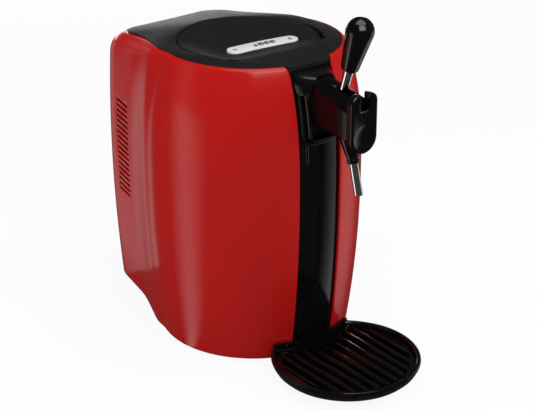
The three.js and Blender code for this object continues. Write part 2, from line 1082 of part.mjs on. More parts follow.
function plateShape(margin) {
  const half = tapPlate.halfWidth - margin;
  const centre = tapPlate.bottom + tapPlate.halfWidth;
  const corner = tapPlate.topCorner - margin / 2;
  const top = tapPlate.top - margin;
  const shape = new THREE.Shape();
  shape.moveTo(-half, centre);
  shape.absarc(0, centre, half, Math.PI, 2 * Math.PI);
  shape.lineTo(half, top - corner);
  shape.absarc(half - corner, top - corner, corner, 0, Math.PI / 2);
  shape.lineTo(-half + corner, top);
  shape.absarc(-half + corner, top - corner, corner, Math.PI / 2, Math.PI);
  return shape;
}

// The plate's rounded front edge is made of three steps of the same outline
function tapFrontPlate() {
  const loops = [];
  const bends = [0, 1 / 3, 2 / 3, 1];
  const loopAt = (margin, y) => {
    const points = plateShape(margin).getPoints(smallSides / 2);
    return points.slice(0, -1).map((p) => spot(p.x, y, p.y));
  };
  loops.push(loopAt(0, tapPlate.back));
  bends.forEach((t) => {
    const a = (t * Math.PI) / 2;
    const margin = tapPlate.edge * (1 - Math.cos(a));
    loops.push(loopAt(margin, tapPlate.front + tapPlate.edge * (1 - Math.sin(a))));
  });
  const plate = loopsJoined(loops, false);
  const r = tapPlate.dishRadius;
  const d = tapPlate.dishDepth;
  const bowl = turnedAlong(
    [
      [0, -d],
      [r / 2, -d * 0.86],
      [r * 0.85, -d * 0.4],
      [r, 0],
      [r, overrun],
      [0, overrun],
    ],
    spot(0, tapPlate.front, tapPlate.dishHeight),
    spot(0, -1, 0),
    smallSides,
  );
  const slot = box(
    -tap.slotHalf,
    tap.slotHalf,
    tapPlate.front - overrun,
    tapPlate.back + overrun,
    tap.slotBottom,
    tapPlate.top + overrun,
  );
  const pinHole = acrossTap(
    stopPin.y,
    stopPin.height,
    stopPin.radius + lever.boreGap,
    stopPin.halfLength + gap,
    smallSides,
  );
  return cut(plate, bowl, slot, pinHole);
}

function leverCam() {
  const y = lever.pivotY + lever.camOffset * Math.cos(camAngle);
  const z = lever.pivotHeight - lever.camOffset * Math.sin(camAngle);
  const cam = acrossTap(y, z, lever.camRadius, lever.camHalf, midSides);
  const hub = acrossTap(lever.pivotY, lever.pivotHeight, lever.hubRadius, lever.camHalf, midSides);
  const socket = rod(onLever(0), onLever(lever.socketEnd), lever.socketRadius, smallSides, lever.stemLowRadius);
  const bore = acrossTap(
    lever.pivotY,
    lever.pivotHeight,
    lever.pinRadius + lever.boreGap,
    lever.camHalf + overrun,
    smallSides,
  );
  const trim = box(-barrel.radius, -lever.camHalf, tap.front, tap.back, 0, rim.height);
  return cut(join(cam, hub, socket), bore, trim, mirrored(trim));
}

function leverStem() {
  const mid = (lever.stemStart + lever.stemEnd) / 2;
  const midRadius = (lever.stemLowRadius + lever.stemHighRadius) / 2;
  const profile = [
    [0, lever.stemStart],
    [lever.stemLowRadius, lever.stemStart],
    [midRadius, mid],
    [lever.stemHighRadius, lever.stemEnd],
    [lever.tenonRadius, lever.stemEnd],
    [lever.tenonRadius, lever.tenonEnd],
    [0, lever.tenonEnd],
  ];
  return turnedAlong(profile, onLever(0), leverDirection(), midSides);
}

function leverKnob() {
  const bore = lever.tenonRadius + gap;
  const profile = [
    [0, knob.boreEnd],
    [bore, knob.boreEnd],
    [bore, knob.start],
    [knob.lowRadius - knob.edge, knob.start],
    [knob.lowRadius, knob.start + knob.edge],
  ];
  const rings = 7;
  const first = -Math.asin((knob.ballRadius - knob.lowRadius) / (knob.ballCentre - knob.start));
  for (let i = 0; i <= rings; i++) {
    const a = first + ((Math.PI / 2 - first) * i) / rings;
    profile.push([knob.ballRadius * Math.cos(a), knob.ballCentre + knob.ballRadius * Math.sin(a)]);
  }
  profile[profile.length - 1][0] = 0;
  return turnedAlong(profile, onLever(0), leverDirection(), midSides);
}

// A torsion spring round the pivot pin, beside the cam
function leverSpringCoil() {
  const start = lever.camHalf + leverSpring.hubGap;
  const loops = [];
  const sides = 5;
  const perTurn = 8;
  const count = leverSpring.turns * perTurn;
  for (let i = 0; i <= count; i++) {
    const a = (2 * Math.PI * i) / perTurn;
    const out = spot(0, Math.cos(a), Math.sin(a));
    const centre = spot(start + (leverSpring.pitch * i) / perTurn, lever.pivotY, lever.pivotHeight);
    centre.addScaledVector(out, leverSpring.coilRadius);
    const loop = [];
    for (let k = 0; k < sides; k++) {
      const b = (2 * Math.PI * k) / sides;
      const p = centre.clone().addScaledVector(out, leverSpring.wire * Math.cos(b));
      p.x += leverSpring.wire * Math.sin(b);
      loop.push(p);
    }
    loops.push(loop);
  }
  return loopsJoined(loops, false);
}

function pivotPin() {
  return acrossTap(lever.pivotY, lever.pivotHeight, lever.pinRadius, lever.pinHalf, smallSides);
}

function leverStopPin() {
  return acrossTap(stopPin.y, stopPin.height, stopPin.radius, stopPin.halfLength, smallSides / 2);
}

function camLow() {
  return lever.pivotHeight - lever.camOffset * Math.sin(camAngle) - lever.camRadius;
}

function pinchProfile(grow) {
  const y = lever.pivotY + lever.camOffset * Math.cos(camAngle);
  const top = camLow() - gap;
  return [
    [y - pinchBar.halfDepth - grow, top + grow],
    [y - pinchBar.halfDepth - grow, pinchBar.shoulderHeight - grow],
    [y - pinchBar.ridgeHalf - grow, pinchBar.ridgeHeight - grow],
    [y + pinchBar.ridgeHalf + grow, pinchBar.ridgeHeight - grow],
    [y + pinchBar.halfDepth + grow, pinchBar.shoulderHeight - grow],
    [y + pinchBar.halfDepth + grow, top + grow],
  ];
}

function pinchBarSolid() {
  return alongX(pinchProfile(0), pinchBar.halfWidth);
}

// The short hose under the pinch bar, shown squeezed as it is with the tap shut
function beerHose() {
  const z = tap.bottom + tap.wall + gap + hose.radius;
  const points = [
    spot(0, hose.start, z),
    spot(0, (hose.start + hose.bendStart) / 2, z),
    spot(0, hose.bendStart, z),
    spot(0, (hose.bendStart + hose.bendEnd) / 2, z - hose.radius / 4),
    spot(0, hose.bendEnd + hose.radius / 4, z - hose.radius * 1.4),
    spot(0, hose.bendEnd, hose.endHeight),
  ];
  const path = new THREE.CatmullRomCurve3(points, false, "centripetal");
  const ring = new THREE.Shape();
  ring.absarc(0, 0, hose.radius, 0, 2 * Math.PI);
  const geometry = new THREE.ExtrudeGeometry(ring, {
    steps: 16,
    curveSegments: 5,
    bevelEnabled: false,
    extrudePath: path,
  });
  return cut(solid(geometry), alongX(pinchProfile(gap), pinchBar.halfWidth));
}

function nozzleCone() {
  const collarStart = nozzle.length - nozzle.collar;
  const seat = nozzle.tubeRadius + gap;
  const profile = [
    [nozzle.boreRadius, -3 * nozzle.collar],
    [nozzle.topRadius, -3 * nozzle.collar],
    [nozzle.topRadius, 0],
    [nozzle.endRadius, collarStart],
    [nozzle.collarRadius, collarStart],
    [nozzle.collarRadius, nozzle.length],
    [seat, nozzle.length],
    [seat, nozzle.tubeStart - gap],
    [nozzle.boreRadius, nozzle.tubeStart - gap],
  ];
  const cone = turnedAlong(profile, spot(0, nozzle.topY, tap.bottom), nozzleDirection(), midSides);
  const above = box(-barrel.radius, barrel.radius, tap.front, tap.back, tap.bottom - gap, rim.height);
  const hoseEnd = rod(
    spot(0, nozzle.topY, tap.bottom - 2 * nozzle.collar),
    spot(0, nozzle.topY, rim.height),
    nozzle.boreRadius + looseGap,
    smallSides,
  );
  return cut(cone, above, hoseEnd);
}

// The spout's tip is cut level, at this height
function tipHeight() {
  return tap.bottom - (nozzle.length + nozzle.tubeLength) * Math.cos(nozzleLean);
}

function nozzleTube() {
  const inner = nozzle.tubeRadius - nozzle.tubeWall;
  const end = nozzle.length + nozzle.tubeLength + nozzle.tubeRadius;
  const profile = [
    [inner, nozzle.tubeStart],
    [nozzle.tubeRadius, nozzle.tubeStart],
    [nozzle.tubeRadius, end],
    [inner, end],
  ];
  const tube = turnedAlong(profile, spot(0, nozzle.topY, tap.bottom), nozzleDirection(), midSides);
  const below = box(-barrel.radius, barrel.radius, tray.centre - tray.radius, 0, 0, tipHeight());
  return cut(tube, below);
}

// The lid's outline seen from above: the round dish and the tongue that reaches the front
function lidOutline(margin, z0, z1) {
  const round = drum(dish.centre, dish.radius - margin, z0, z1, 2 * midSides);
  const tongue = new THREE.Shape();
  tongue.moveTo(-lidShape.tongueBackHalf + margin, lidShape.tongueBack);
  tongue.lineTo(-lidShape.tongueFrontHalf + margin, lidShape.tongueFront - overrun);
  tongue.lineTo(lidShape.tongueFrontHalf - margin, lidShape.tongueFront - overrun);
  tongue.lineTo(lidShape.tongueBackHalf - margin, lidShape.tongueBack);
  const rimRadius = barrelRadius(rim.height) - shoulder.least - looseGap;
  const wide = upright(tongue, z0, z1).intersect(drum(0, rimRadius - margin, z0, z1));
  const half = lidShape.lipHalf - margin;
  const lip = box(-half, half, -barrel.radius, lidShape.tongueBack, z0, z1);
  const narrow = lip.intersect(drum(0, lidShape.lipRadius - margin, z0, z1));
  return join(round, wide, narrow);
}

// The fixed cover's height along the lid's circle: it rises towards the front
function circleHeight(y) {
  return dish.rimHeight + dish.rimRise * smoothStep((dish.riseStart - y) / dish.riseSpan);
}

// The lid's top: level with the cover in front, and hollowed to a bowl behind the strip
function lidSurface(x, y) {
  const past = y - dish.bowlAt;
  const back = dish.backRise * Math.pow(Math.max(past, 0) / dish.backSpan, 2);
  const front = dish.frontRise * Math.pow(Math.max(-past, 0) / dish.frontSpan, dishFrontShare);
  const aside = dish.sideRise * Math.pow(Math.abs(x) / dish.radius, dishSideShare);
  const bowl = dish.floor + back + front + aside;
  return softLess(circleHeight(y) - dish.below, bowl, dish.blend);
}

// A block that fills the space under the lid's surface, from a flat bottom
function underLidSurface(bottom, depth) {
  const size = barrel.topRadius + overrun;
  const across = steps(lidColumns).map((t) => size * (2 * t - 1));
  const along = steps(lidRows).map((t) => size * (2 * t - 1));
  const top = across.map((x) => along.map((y) => spot(x, y, lidSurface(x, y) - depth)));
  const low = across.map((x) => along.map((y) => spot(x, y, bottom)));
  return wallBetween(top, low);
}

function lid() {
  const low = lidShape.skirtBottom;
  const body = underLidSurface(low, 0).intersect(lidOutline(0, low - overrun, rim.height + overrun));
  const hollow = underLidSurface(low - overrun, lidShape.skin).intersect(
    lidOutline(lidShape.skirt, low - 2 * overrun, rim.height + overrun),
  );
  const underLip = box(
    -barrel.radius,
    barrel.radius,
    -barrel.radius,
    lidShape.lipBack,
    low - overrun,
    lidShape.lipBottom,
  );
  const knuckle = acrossTap(
    lidHinge.y,
    lidHinge.height,
    lidHinge.knuckleRadius,
    lidHinge.knuckleHalf,
    smallSides,
  );
  const arm = box(
    -lidHinge.knuckleHalf,
    lidHinge.knuckleHalf,
    dish.centre + dish.radius - 2 * lidShape.skirt,
    lidHinge.y,
    lidHinge.height - lidHinge.knuckleRadius,
    lidHinge.height - lidHinge.pinRadius / 2,
  );
  const bore = acrossTap(
    lidHinge.y,
    lidHinge.height,
    lidHinge.pinRadius + lidHinge.boreGap,
    lidHinge.notchHalf,
    smallSides,
  );
  return cut(join(cut(body, hollow, underLip), knuckle, arm), bore);
}

// The cover's outer edge at a skin angle, and the point of the dish's rim that faces it
function coverEdge(angle) {
  const at = shoulderAt(angle);
  return outline(angle, at.top, at.inset + looseGap);
}

function dishRim(edge, radius, z = 0) {
  const off = spot(edge.x, edge.y - dish.centre, 0).setLength(radius);
  return spot(off.x, dish.centre + off.y, z);
}

function topCover() {
  const right = [0, ...skinAngles].map(coverEdge);
  right[0].x = 0;
  right[right.length - 1].x = 0;
  const left = right.slice(1, -1).reverse().map((p) => spot(-p.x, p.y, p.z));
  const inner = dish.radius + dish.gap;
  const loops = [...right, ...left].map((edge) => {
    const under = (p) => spot(p.x, p.y, p.z - cover.skin);
    const lip = dishRim(edge, inner);
    lip.z = circleHeight(lip.y);
    const collar = dishRim(edge, inner + cover.collarWall, lip.z);
    return [
      edge,
      lip,
      dishRim(edge, inner, cover.collarBottom),
      dishRim(edge, inner + cover.collarWall, cover.collarBottom),
      under(collar),
      under(edge),
    ];
  });
  const ring = join(loopsJoined(loops, true), hingeLug(), mirrored(hingeLug()));
  const opening = lidOutline(-dish.gap, cover.collarBottom - overrun, rim.height + overrun);
  const notch = box(
    -lidHinge.notchHalf,
    lidHinge.notchHalf,
    dish.centre,
    lidHinge.notchBack,
    lidHinge.notchFloor,
    rim.height,
  );
  const bore = acrossTap(
    lidHinge.y,
    lidHinge.height,
    lidHinge.pinRadius + lidHinge.boreGap,
    lidHinge.pinHalf + gap,
    smallSides,
  );
  return cut(ring, opening, notch, bore, fingerGroove(), mirrored(fingerGroove()));
}

// The block under the cover's skin that holds one end of the hinge pin
function hingeLug() {
  const h = lidHinge;
  return box(h.notchHalf, h.pinHalf + h.lugHalf, h.y - h.lugHalf, h.y + h.lugHalf, h.notchFloor, h.lugTop);
}

// A groove along the circle that widens forwards and ends in a round hollow for a fingertip
function fingerGroove() {
  const r = dish.radius + dish.gap;
  const along = (angle, radius) => spot(radius * Math.sin(angle), dish.centre - radius * Math.cos(angle), 0);
  const shape = new THREE.Shape();
  const turns = steps(grooveSteps);
  const angleAt = (t) => grooveFrom + (grooveTo - grooveFrom) * t;
  const outer = turns.map((t) => along(angleAt(t), r + cover.grooveStart + cover.grooveGrowth * t * t));
  const inner = [...turns].reverse().map((t) => along(angleAt(t), r - overrun));
  shape.setFromPoints([...outer, ...inner].map((p) => new THREE.Vector2(p.x, p.y)));
  const groove = upright(shape, rim.height - cover.grooveDepth, rim.height + overrun);
  const centre = along(grooveTo, r + cover.hollowOff);
  const ball = new THREE.SphereGeometry(cover.hollowRadius, smallSides, smallSides / 2);
  ball.translate(centre.x, centre.y, rim.height + cover.hollowRadius - cover.hollowDepth);
  return join(groove, solid(ball));
}

function lidHingePin() {
  const half = lidHinge.pinHalf;
  return acrossTap(lidHinge.y, lidHinge.height, lidHinge.pinRadius, half, smallSides / 2);
}

function lidLiner() {
  const z = liner.bottom;
  const shelf = lidShape.skirtBottom - gap;
  const top = dish.floor - lidShape.skin - gap;
  const profile = [
    [0, z + liner.dishing],
    [liner.dishRadius, z + liner.dishing],
    [liner.dishRadius + liner.dishing, z],
    [liner.radius, z],
    [liner.radius, shelf],
    [liner.plugRadius, shelf],
    [liner.plugRadius, top],
    [0, top],
  ];
  return turned(profile, dish.centre);
}

function lidSeal() {
  const top = liner.bottom - gap;
  const low = top - seal.height;
  const bulge = seal.height / 4;
  const profile = [
    [seal.innerRadius, low + bulge],
    [seal.innerRadius + bulge, low],
    [seal.radius - bulge, low],
    [seal.radius, low + bulge],
    [seal.radius, top],
    [seal.innerRadius, top],
  ];
  return turned(profile, dish.centre);
}

function stripLine(t) {
  const x = strip.halfLength * (2 * t - 1);
  const side = x / strip.halfLength;
  return spot(x, strip.centre - stripSlopeShare * x + strip.bow * (1 - side * side), 0);
}

function stripHalfWidth(t) {
  const x = Math.abs(strip.halfLength * (2 * t - 1));
  const past = Math.max(x - (strip.halfLength - strip.halfWidth), 0);
  const half = Math.sqrt(Math.max(strip.halfWidth * strip.halfWidth - past * past, 0));
  return Math.max(half, strip.halfWidth / 5);
}

function lightSpot(side) {
  const t = 1 / 2 + (side * (1 - strip.lightInset / strip.halfLength)) / 2;
  return stripLine(t);
}

function displayStrip() {
  const shares = [0, 0.01, 0.03, 0.06, 0.15, 0.3, 0.5, 0.7, 0.85, 0.94, 0.97, 0.99, 1];
  const level = (lift) =>
    shares.map((t) => {
      const p = stripLine(t);
      const half = stripHalfWidth(t);
      return [-1, 0, 1].map((side) => {
        const y = p.y + side * half;
        return spot(p.x, y, lidSurface(p.x, y) + gap + lift);
      });
    });
  const plate = wallBetween(level(strip.thickness), level(0));
  const hole = (side) => {
    const p = lightSpot(side);
    return rod(spot(p.x, p.y, 0), spot(p.x, p.y, rim.height), strip.lightRadius + gap, smallSides);
  };
  return cut(plate, hole(-1), hole(1));
}

function stripLight(side) {
  const p = lightSpot(side);
  const under = [-1, 0, 1].map((end) => lidSurface(p.x, p.y + end * (strip.lightRadius + gap)));
  const z = Math.max(...under) + gap;
  return rod(spot(p.x, p.y, z), spot(p.x, p.y, z + strip.lightHeight), strip.lightRadius, smallSides);
}

// The keg well: a pressed aluminium pot with a stepped mouth
function kegWell() {
  const r = well.radius;
  const t = well.wall;
  const top = cover.collarBottom - gap;
  const profile = [
    [0, well.floor],
    [r + t, well.floor],
    [r + t, well.ledge - gap],
    [well.mouthRadius + t, well.ledge - gap],
    [well.mouthRadius + t, top - well.flangeSkin],
    [well.flangeRadius, top - well.flangeSkin],
    [well.flangeRadius, top],
    [well.mouthRadius, top],
    [well.mouthRadius, well.ledge + t - gap],
    [r, well.ledge + t - gap],
    [r, well.floor + well.floorSkin],
    [0, well.floor + well.floorSkin],
  ];
  return turned(profile, dish.centre);
}

function insulationSleeve() {
  const inner = well.radius + well.wall + gap;
  const top = well.ledge - 2 * gap;
  const profile = [
    [0, insulation.bottom],
    [insulation.radius, insulation.bottom],
    [insulation.radius, top],
    [inner, top],
    [inner, well.floor - gap],
    [0, well.floor - gap],
  ];
  const half = cooler.blockHalf + gap;
  const window = box(
    -half,
    half,
    dish.centre,
    cooler.blockBack,
    cooler.height - half,
    cooler.height + half,
  );
  return cut(turned(profile, dish.centre), window);
}

function kegPadDisc() {
  const low = well.floor + well.floorSkin + gap;
  const profile = [
    [kegPad.holeRadius, low],
    [kegPad.radius, low],
    [kegPad.radius, low + kegPad.height],
    [kegPad.holeRadius, low + kegPad.height],
  ];
  return turned(profile, dish.centre, midSides);
}

// The base plate's top face, which is straight between the places where it is drawn
function baseTop(y) {
  const pace = (housing.rear + barrel.radius) / baseRows;
  const behind = Math.floor((y + barrel.radius) / pace) * pace - barrel.radius;
  const share = (y - behind) / pace;
  const levels = [behind, behind + pace].map((at) => bottomHeight(at) - base.below + base.skin);
  return THREE.MathUtils.lerp(levels[0], levels[1], share);
}

function wellStand() {
  const low = baseTop(0) + gap;
  const top = insulation.bottom - gap;
  const inner = stand.radius - stand.wall;
  const profile = [
    [inner, low],
    [stand.radius, low],
    [stand.radius, top - stand.flangeSkin],
    [stand.flangeRadius, top - stand.flangeSkin],
    [stand.flangeRadius, top],
    [inner, top],
  ];
  return turned(profile, dish.centre, midSides);
}

// The base plate rises behind with the housing's bottom edge
function basePlate() {
  const ys = steps(baseRows).map((t) => -barrel.radius + (housing.rear + barrel.radius) * t);
  const over = ys.map((y) => [y, baseTop(y)]);
  const under = ys.map((y) => [y, baseTop(y) - base.skin]).reverse();
  const ribbon = alongX([...over, ...under], barrel.radius);
  const points = [0, ...skinAngles].map((angle) => {
    const p = skinInside(angle, 0, wall + base.edgeGap);
    return new THREE.Vector2(p.x, p.y);
  });
  points[0].x = 0;
  points[points.length - 1].x = 0;
  const left = points.slice(1, -1).reverse();
  const shape = new THREE.Shape([...points, ...left.map((p) => new THREE.Vector2(-p.x, p.y))]);
  const plate = ribbon.intersect(upright(shape, 0, insulation.bottom));
  const bosses = [-1, 1].map((side) => {
    const low = spot(side * foot.rearX, foot.rearY, foot.height + gap);
    return rod(low, spot(low.x, low.y, baseTop(foot.rearY) - gap), base.bossRadius, midSides);
  });
  return join(plate, ...bosses);
}

function footSolid(x, y) {
  const profile = [
    [0, 0],
    [foot.radius - foot.chamfer, 0],
    [foot.radius, foot.chamfer],
    [foot.radius, foot.height],
    [0, foot.height],
  ];
  return turned(profile, y, smallSides).translate([x, 0, 0]);
}

function panelFace(depth) {
  const xs = steps(2).map((t) => (panel.halfWidth + overrun) * (2 * t - 1));
  const z0 = panel.bottom - overrun;
  const z1 = panel.top + overrun;
  const zs = steps(patchSteps).map((t) => z0 + (z1 - z0) * t);
  return xs.map((x) => zs.map((z) => spot(x, housingRear(z) - panel.inset - depth, z)));
}

function screwSpots() {
  const x = panel.halfWidth - panel.screwInset;
  const high = panel.top - panel.screwInset;
  const low = panel.bottom + panel.screwInset;
  return [
    [-x, low],
    [x, low],
    [-x, high],
    [x, high],
  ];
}

function rearPanel() {
  const shape = roundedRectangle(
    -panel.halfWidth,
    panel.halfWidth,
    panel.bottom,
    panel.top,
    panel.corner,
  );
  const prism = alongY(shape, cooler.finBack, housing.rear + overrun, smallSides / 2);
  const plate = wallBetween(panelFace(0), panelFace(panel.skin)).intersect(prism);
  const slots = [];
  for (let i = 0; i < panel.grilleSlots; i++) {
    const z = cooler.height + (i - (panel.grilleSlots - 1) / 2) * panel.grillePitch;
    const fromMiddle = Math.abs(z - cooler.height);
    const half = Math.sqrt(fan.boreRadius * fan.boreRadius - fromMiddle * fromMiddle);
    const end = Math.min(half, panel.grilleHalf);
    const low = z - panel.grilleSlot / 2;
    slots.push(box(-end, end, cooler.finBack, housing.rear, low, low + panel.grilleSlot));
  }
  const holes = screwSpots().map(([x, z]) =>
    rod(spot(x, cooler.finBack, z), spot(x, housing.rear, z), panel.shankRadius + gap, smallSides / 2),
  );
  const switchHole = box(
    powerSwitch.x - powerSwitch.halfWidth + powerSwitch.frame - gap,
    powerSwitch.x + powerSwitch.halfWidth - powerSwitch.frame + gap,
    cooler.finBack,
    housing.rear,
    powerSwitch.height - powerSwitch.halfHeight + powerSwitch.frame - gap,
    powerSwitch.height + powerSwitch.halfHeight - powerSwitch.frame + gap,
  );
  const inletHole = box(
    inlet.x - inlet.halfWidth + inlet.wall - gap,
    inlet.x + inlet.halfWidth - inlet.wall + gap,
    cooler.finBack,
    housing.rear,
    inlet.height - inlet.halfHeight + inlet.wall - gap,
    inlet.height + inlet.halfHeight - inlet.wall + gap,
  );
  return cut(plate, ...slots, ...holes, switchHole, inletHole);
}

function panelScrew(x, z) {
  const face = housingRear(z) - panel.inset;
  const head = rod(
    spot(x, face + gap, z),
    spot(x, face + gap + panel.screwHeight, z),
    panel.screwRadius,
    smallSides,
    panel.screwRadius - panel.screwHeight / 2,
  );
  const shank = rod(
    spot(x, face - panel.shankLength, z),
    spot(x, face + panel.screwHeight, z),
    panel.shankRadius,
    smallSides / 2,
  );
  const limit = box(-barrel.radius, barrel.radius, housing.rear, housing.rear + overrun, 0, rim.height);
  return cut(join(head, shank), limit);
}

function panelOuter(z) {
  return housingRear(z) - panel.inset;
}

function switchFrame() {
  const s = powerSwitch;
  const low = panelOuter(s.height - s.halfHeight);
  const face = panelOuter(s.height + s.halfHeight) + gap;
  const flange = box(
    s.x - s.halfWidth,
    s.x + s.halfWidth,
    face,
    face + s.proud,
    s.height - s.halfHeight,
    s.height + s.halfHeight,
  );
  const barrelBox = box(
    s.x - s.halfWidth + s.frame,
    s.x + s.halfWidth - s.frame,
    low - s.depth,
    face + s.proud,
    s.height - s.halfHeight + s.frame,
    s.height + s.halfHeight - s.frame,
  );
  const hollow = box(
    s.x - s.halfWidth + 2 * s.frame,
    s.x + s.halfWidth - 2 * s.frame,
    low - s.depth + s.frame,
    housing.rear + overrun,
    s.height - s.halfHeight + 2 * s.frame,
    s.height + s.halfHeight - 2 * s.frame,
  );
  return cut(join(flange, barrelBox), hollow);
}

function rocker() {
  const s = powerSwitch;
  const face = panelOuter(s.height + s.halfHeight) + gap + s.proud;
  const half = s.halfHeight - 2 * s.frame - 3 * gap;
  const outer = face + s.rockerProud;
  const inner = face - s.rockerDepth;
  const profile = [
    [inner, s.height - half],
    [face, s.height - half],
    [outer, s.height - half + s.frame],
    [face + s.rockerProud / 2, s.height],
    [outer, s.height + half - s.frame],
    [face, s.height + half],
    [inner, s.height + half],
  ];
  const cap = alongX(profile, s.halfWidth - 2 * s.frame - gap);
  const middle = face - s.rockerDepth / 2;
  return cap
    .translate([0, -middle, -s.height])
    .rotate([THREE.MathUtils.radToDeg(rockerTilt), 0, 0])
    .translate([s.x, middle, s.height]);
}

function powerInlet() {
  const n = inlet;
  const face = panelOuter(n.height + n.halfHeight) + gap;
  const low = panelOuter(n.height - n.halfHeight);
  const shapeAt = (margin) =>
    roundedRectangle(
      n.x - n.halfWidth + margin,
      n.x + n.halfWidth - margin,
      n.height - n.halfHeight + margin,
      n.height + n.halfHeight - margin,
      n.wall,
    );
  const flange = alongY(shapeAt(0), face, face + n.proud, smallSides / 4);
  const body = alongY(shapeAt(n.wall), low - n.depth, face + n.proud, smallSides / 4);
  const hollow = alongY(shapeAt(2 * n.wall), low - n.depth + n.wall, housing.rear + overrun, smallSides / 4);
  const back = low - n.depth + n.wall / 2;
  const pins = [-1, 1].map((side) => {
    const x = n.x + side * n.pinSpacing;
    return rod(spot(x, back, n.height), spot(x, back + n.pinLength, n.height), n.pinRadius, smallSides / 2);
  });
  return join(cut(join(flange, body), hollow), ...pins);
}

function coldBlock() {
  const half = cooler.blockHalf;
  const block = box(
    -half,
    half,
    dish.centre + well.radius * Math.cos(half / well.radius) - wall,
    cooler.blockBack,
    cooler.height - half,
    cooler.height + half,
  );
  return cut(block, drum(dish.centre, well.radius + well.wall + gap, 0, rim.height));
}

function coolingModule() {
  const front = cooler.blockBack + gap;
  const half = cooler.moduleHalf;
  const back = front + cooler.moduleThickness;
  return box(-half, half, front, back, cooler.height - half, cooler.height + half);
}

function heatSink() {
  const front = cooler.blockBack + cooler.moduleThickness + 2 * gap;
  const points = [];
  const w = cooler.sinkHalfWidth;
  const fins = cooler.fins;
  const pitch = (2 * w - cooler.finThickness) / (fins - 1);
  const root = front + cooler.sinkBase;
  points.push([-w, front], [w, front]);
  for (let i = fins - 1; i >= 0; i--) {
    const x = -w + i * pitch;
    points.push([x + cooler.finThickness, cooler.finBack], [x, cooler.finBack]);
    if (i > 0) points.push([x, root], [x - pitch + cooler.finThickness, root]);
  }
  const shape = new THREE.Shape(points.map(([x, y]) => new THREE.Vector2(x, y)));
  const low = cooler.height - cooler.sinkHalfHeight;
  return upright(shape, low, cooler.height + cooler.sinkHalfHeight);
}

function fanFront() {
  return cooler.finBack + gap;
}

function fanFrame() {
  const f = fan;
  const z = cooler.height;
  const front = fanFront();
  const back = front + f.depth;
  const shape = roundedRectangle(-f.halfSize, f.halfSize, z - f.halfSize, z + f.halfSize, f.corner);
  const bore = rod(spot(0, front - overrun, z), spot(0, back + overrun, z), f.boreRadius, midSides);
  const ring = cut(alongY(shape, front, back, smallSides / 4), bore);
  const plate = rod(spot(0, back - f.hubPlate, z), spot(0, back, z), f.hubRadius, midSides);
  const shaft = rod(
    spot(0, back - f.hubPlate - f.rotorDepth / 2, z),
    spot(0, back - f.hubPlate / 2, z),
    f.shaftRadius,
    smallSides,
  );
  const upStrut = box(-f.strutHalf, f.strutHalf, back - f.hubPlate, back, z - f.halfSize, z + f.halfSize);
  const sideStrut = box(-f.halfSize, f.halfSize, back - f.hubPlate, back, z - f.strutHalf, z + f.strutHalf);
  return join(ring, plate, shaft, upStrut, sideStrut);
}

function fanRotor() {
  const f = fan;
  const z = cooler.height;
  const back = fanFront() + f.depth - f.hubPlate - looseGap;
  const front = back - f.rotorDepth;
  const hub = rod(spot(0, front, z), spot(0, back, z), f.rotorHub, midSides);
  const blades = [];
  const chord = (f.rotorDepth - f.bladeThickness) / Math.cos(bladePitch);
  for (let i = 0; i < f.blades; i++) {
    const reachOut = f.rotorRadius - f.rotorHub + overrun;
    const blade = new THREE.BoxGeometry(reachOut, chord, f.bladeThickness);
    blade.rotateX(bladePitch);
    blade.translate(f.rotorHub - overrun + reachOut / 2, 0, 0);
    blade.rotateY((2 * Math.PI * i) / f.blades);
    blade.translate(0, (front + back) / 2, z);
    blades.push(solid(blade));
  }
  const rim = rod(spot(0, front, z), spot(0, back, z), f.rotorRadius, midSides);
  const bore = rod(
    spot(0, back - f.rotorDepth / 2 - looseGap, z),
    spot(0, back + overrun, z),
    f.shaftRadius + gap,
    smallSides,
  );
  return cut(join(hub, ...blades).intersect(rim), bore);
}

function powerSupply() {
  const s = supply;
  const low = baseTop(s.back) + gap;
  const shape = roundedRectangle(-s.halfWidth, s.halfWidth, s.front, s.back, s.corner);
  return upright(shape, low, low + s.height, smallSides / 4);
}

function controlBoard() {
  const b = board;
  const back = b.y + b.thickness;
  const low = baseTop(back) + gap;
  const middle = low + b.height / 2;
  const card = box(-b.halfWidth, b.halfWidth, b.y, back, low, low + b.height);
  const partsOnIt = [-2, 0, 2].map((step) => {
    const x = step * b.partHalf * 2;
    const z = middle + step * b.partHalf;
    return box(x - b.partHalf, x + b.partHalf, b.y, back + b.partHeight, z - b.partHalf, z + b.partHalf);
  });
  const caps = [-1, 1].map((side) => {
    const x = side * b.halfWidth * 0.6;
    const z = middle - side * b.partHalf * 2;
    return rod(spot(x, b.y + b.thickness / 2, z), spot(x, back + 2 * b.capRadius, z), b.capRadius, smallSides);
  });
  return join(card, ...partsOnIt, ...caps);
}

function trayInnerRadius() {
  return tray.radius - tray.rimWidth;
}

function trayBackRadius() {
  return barrelRadius(tray.height) + tray.bodyGap;
}

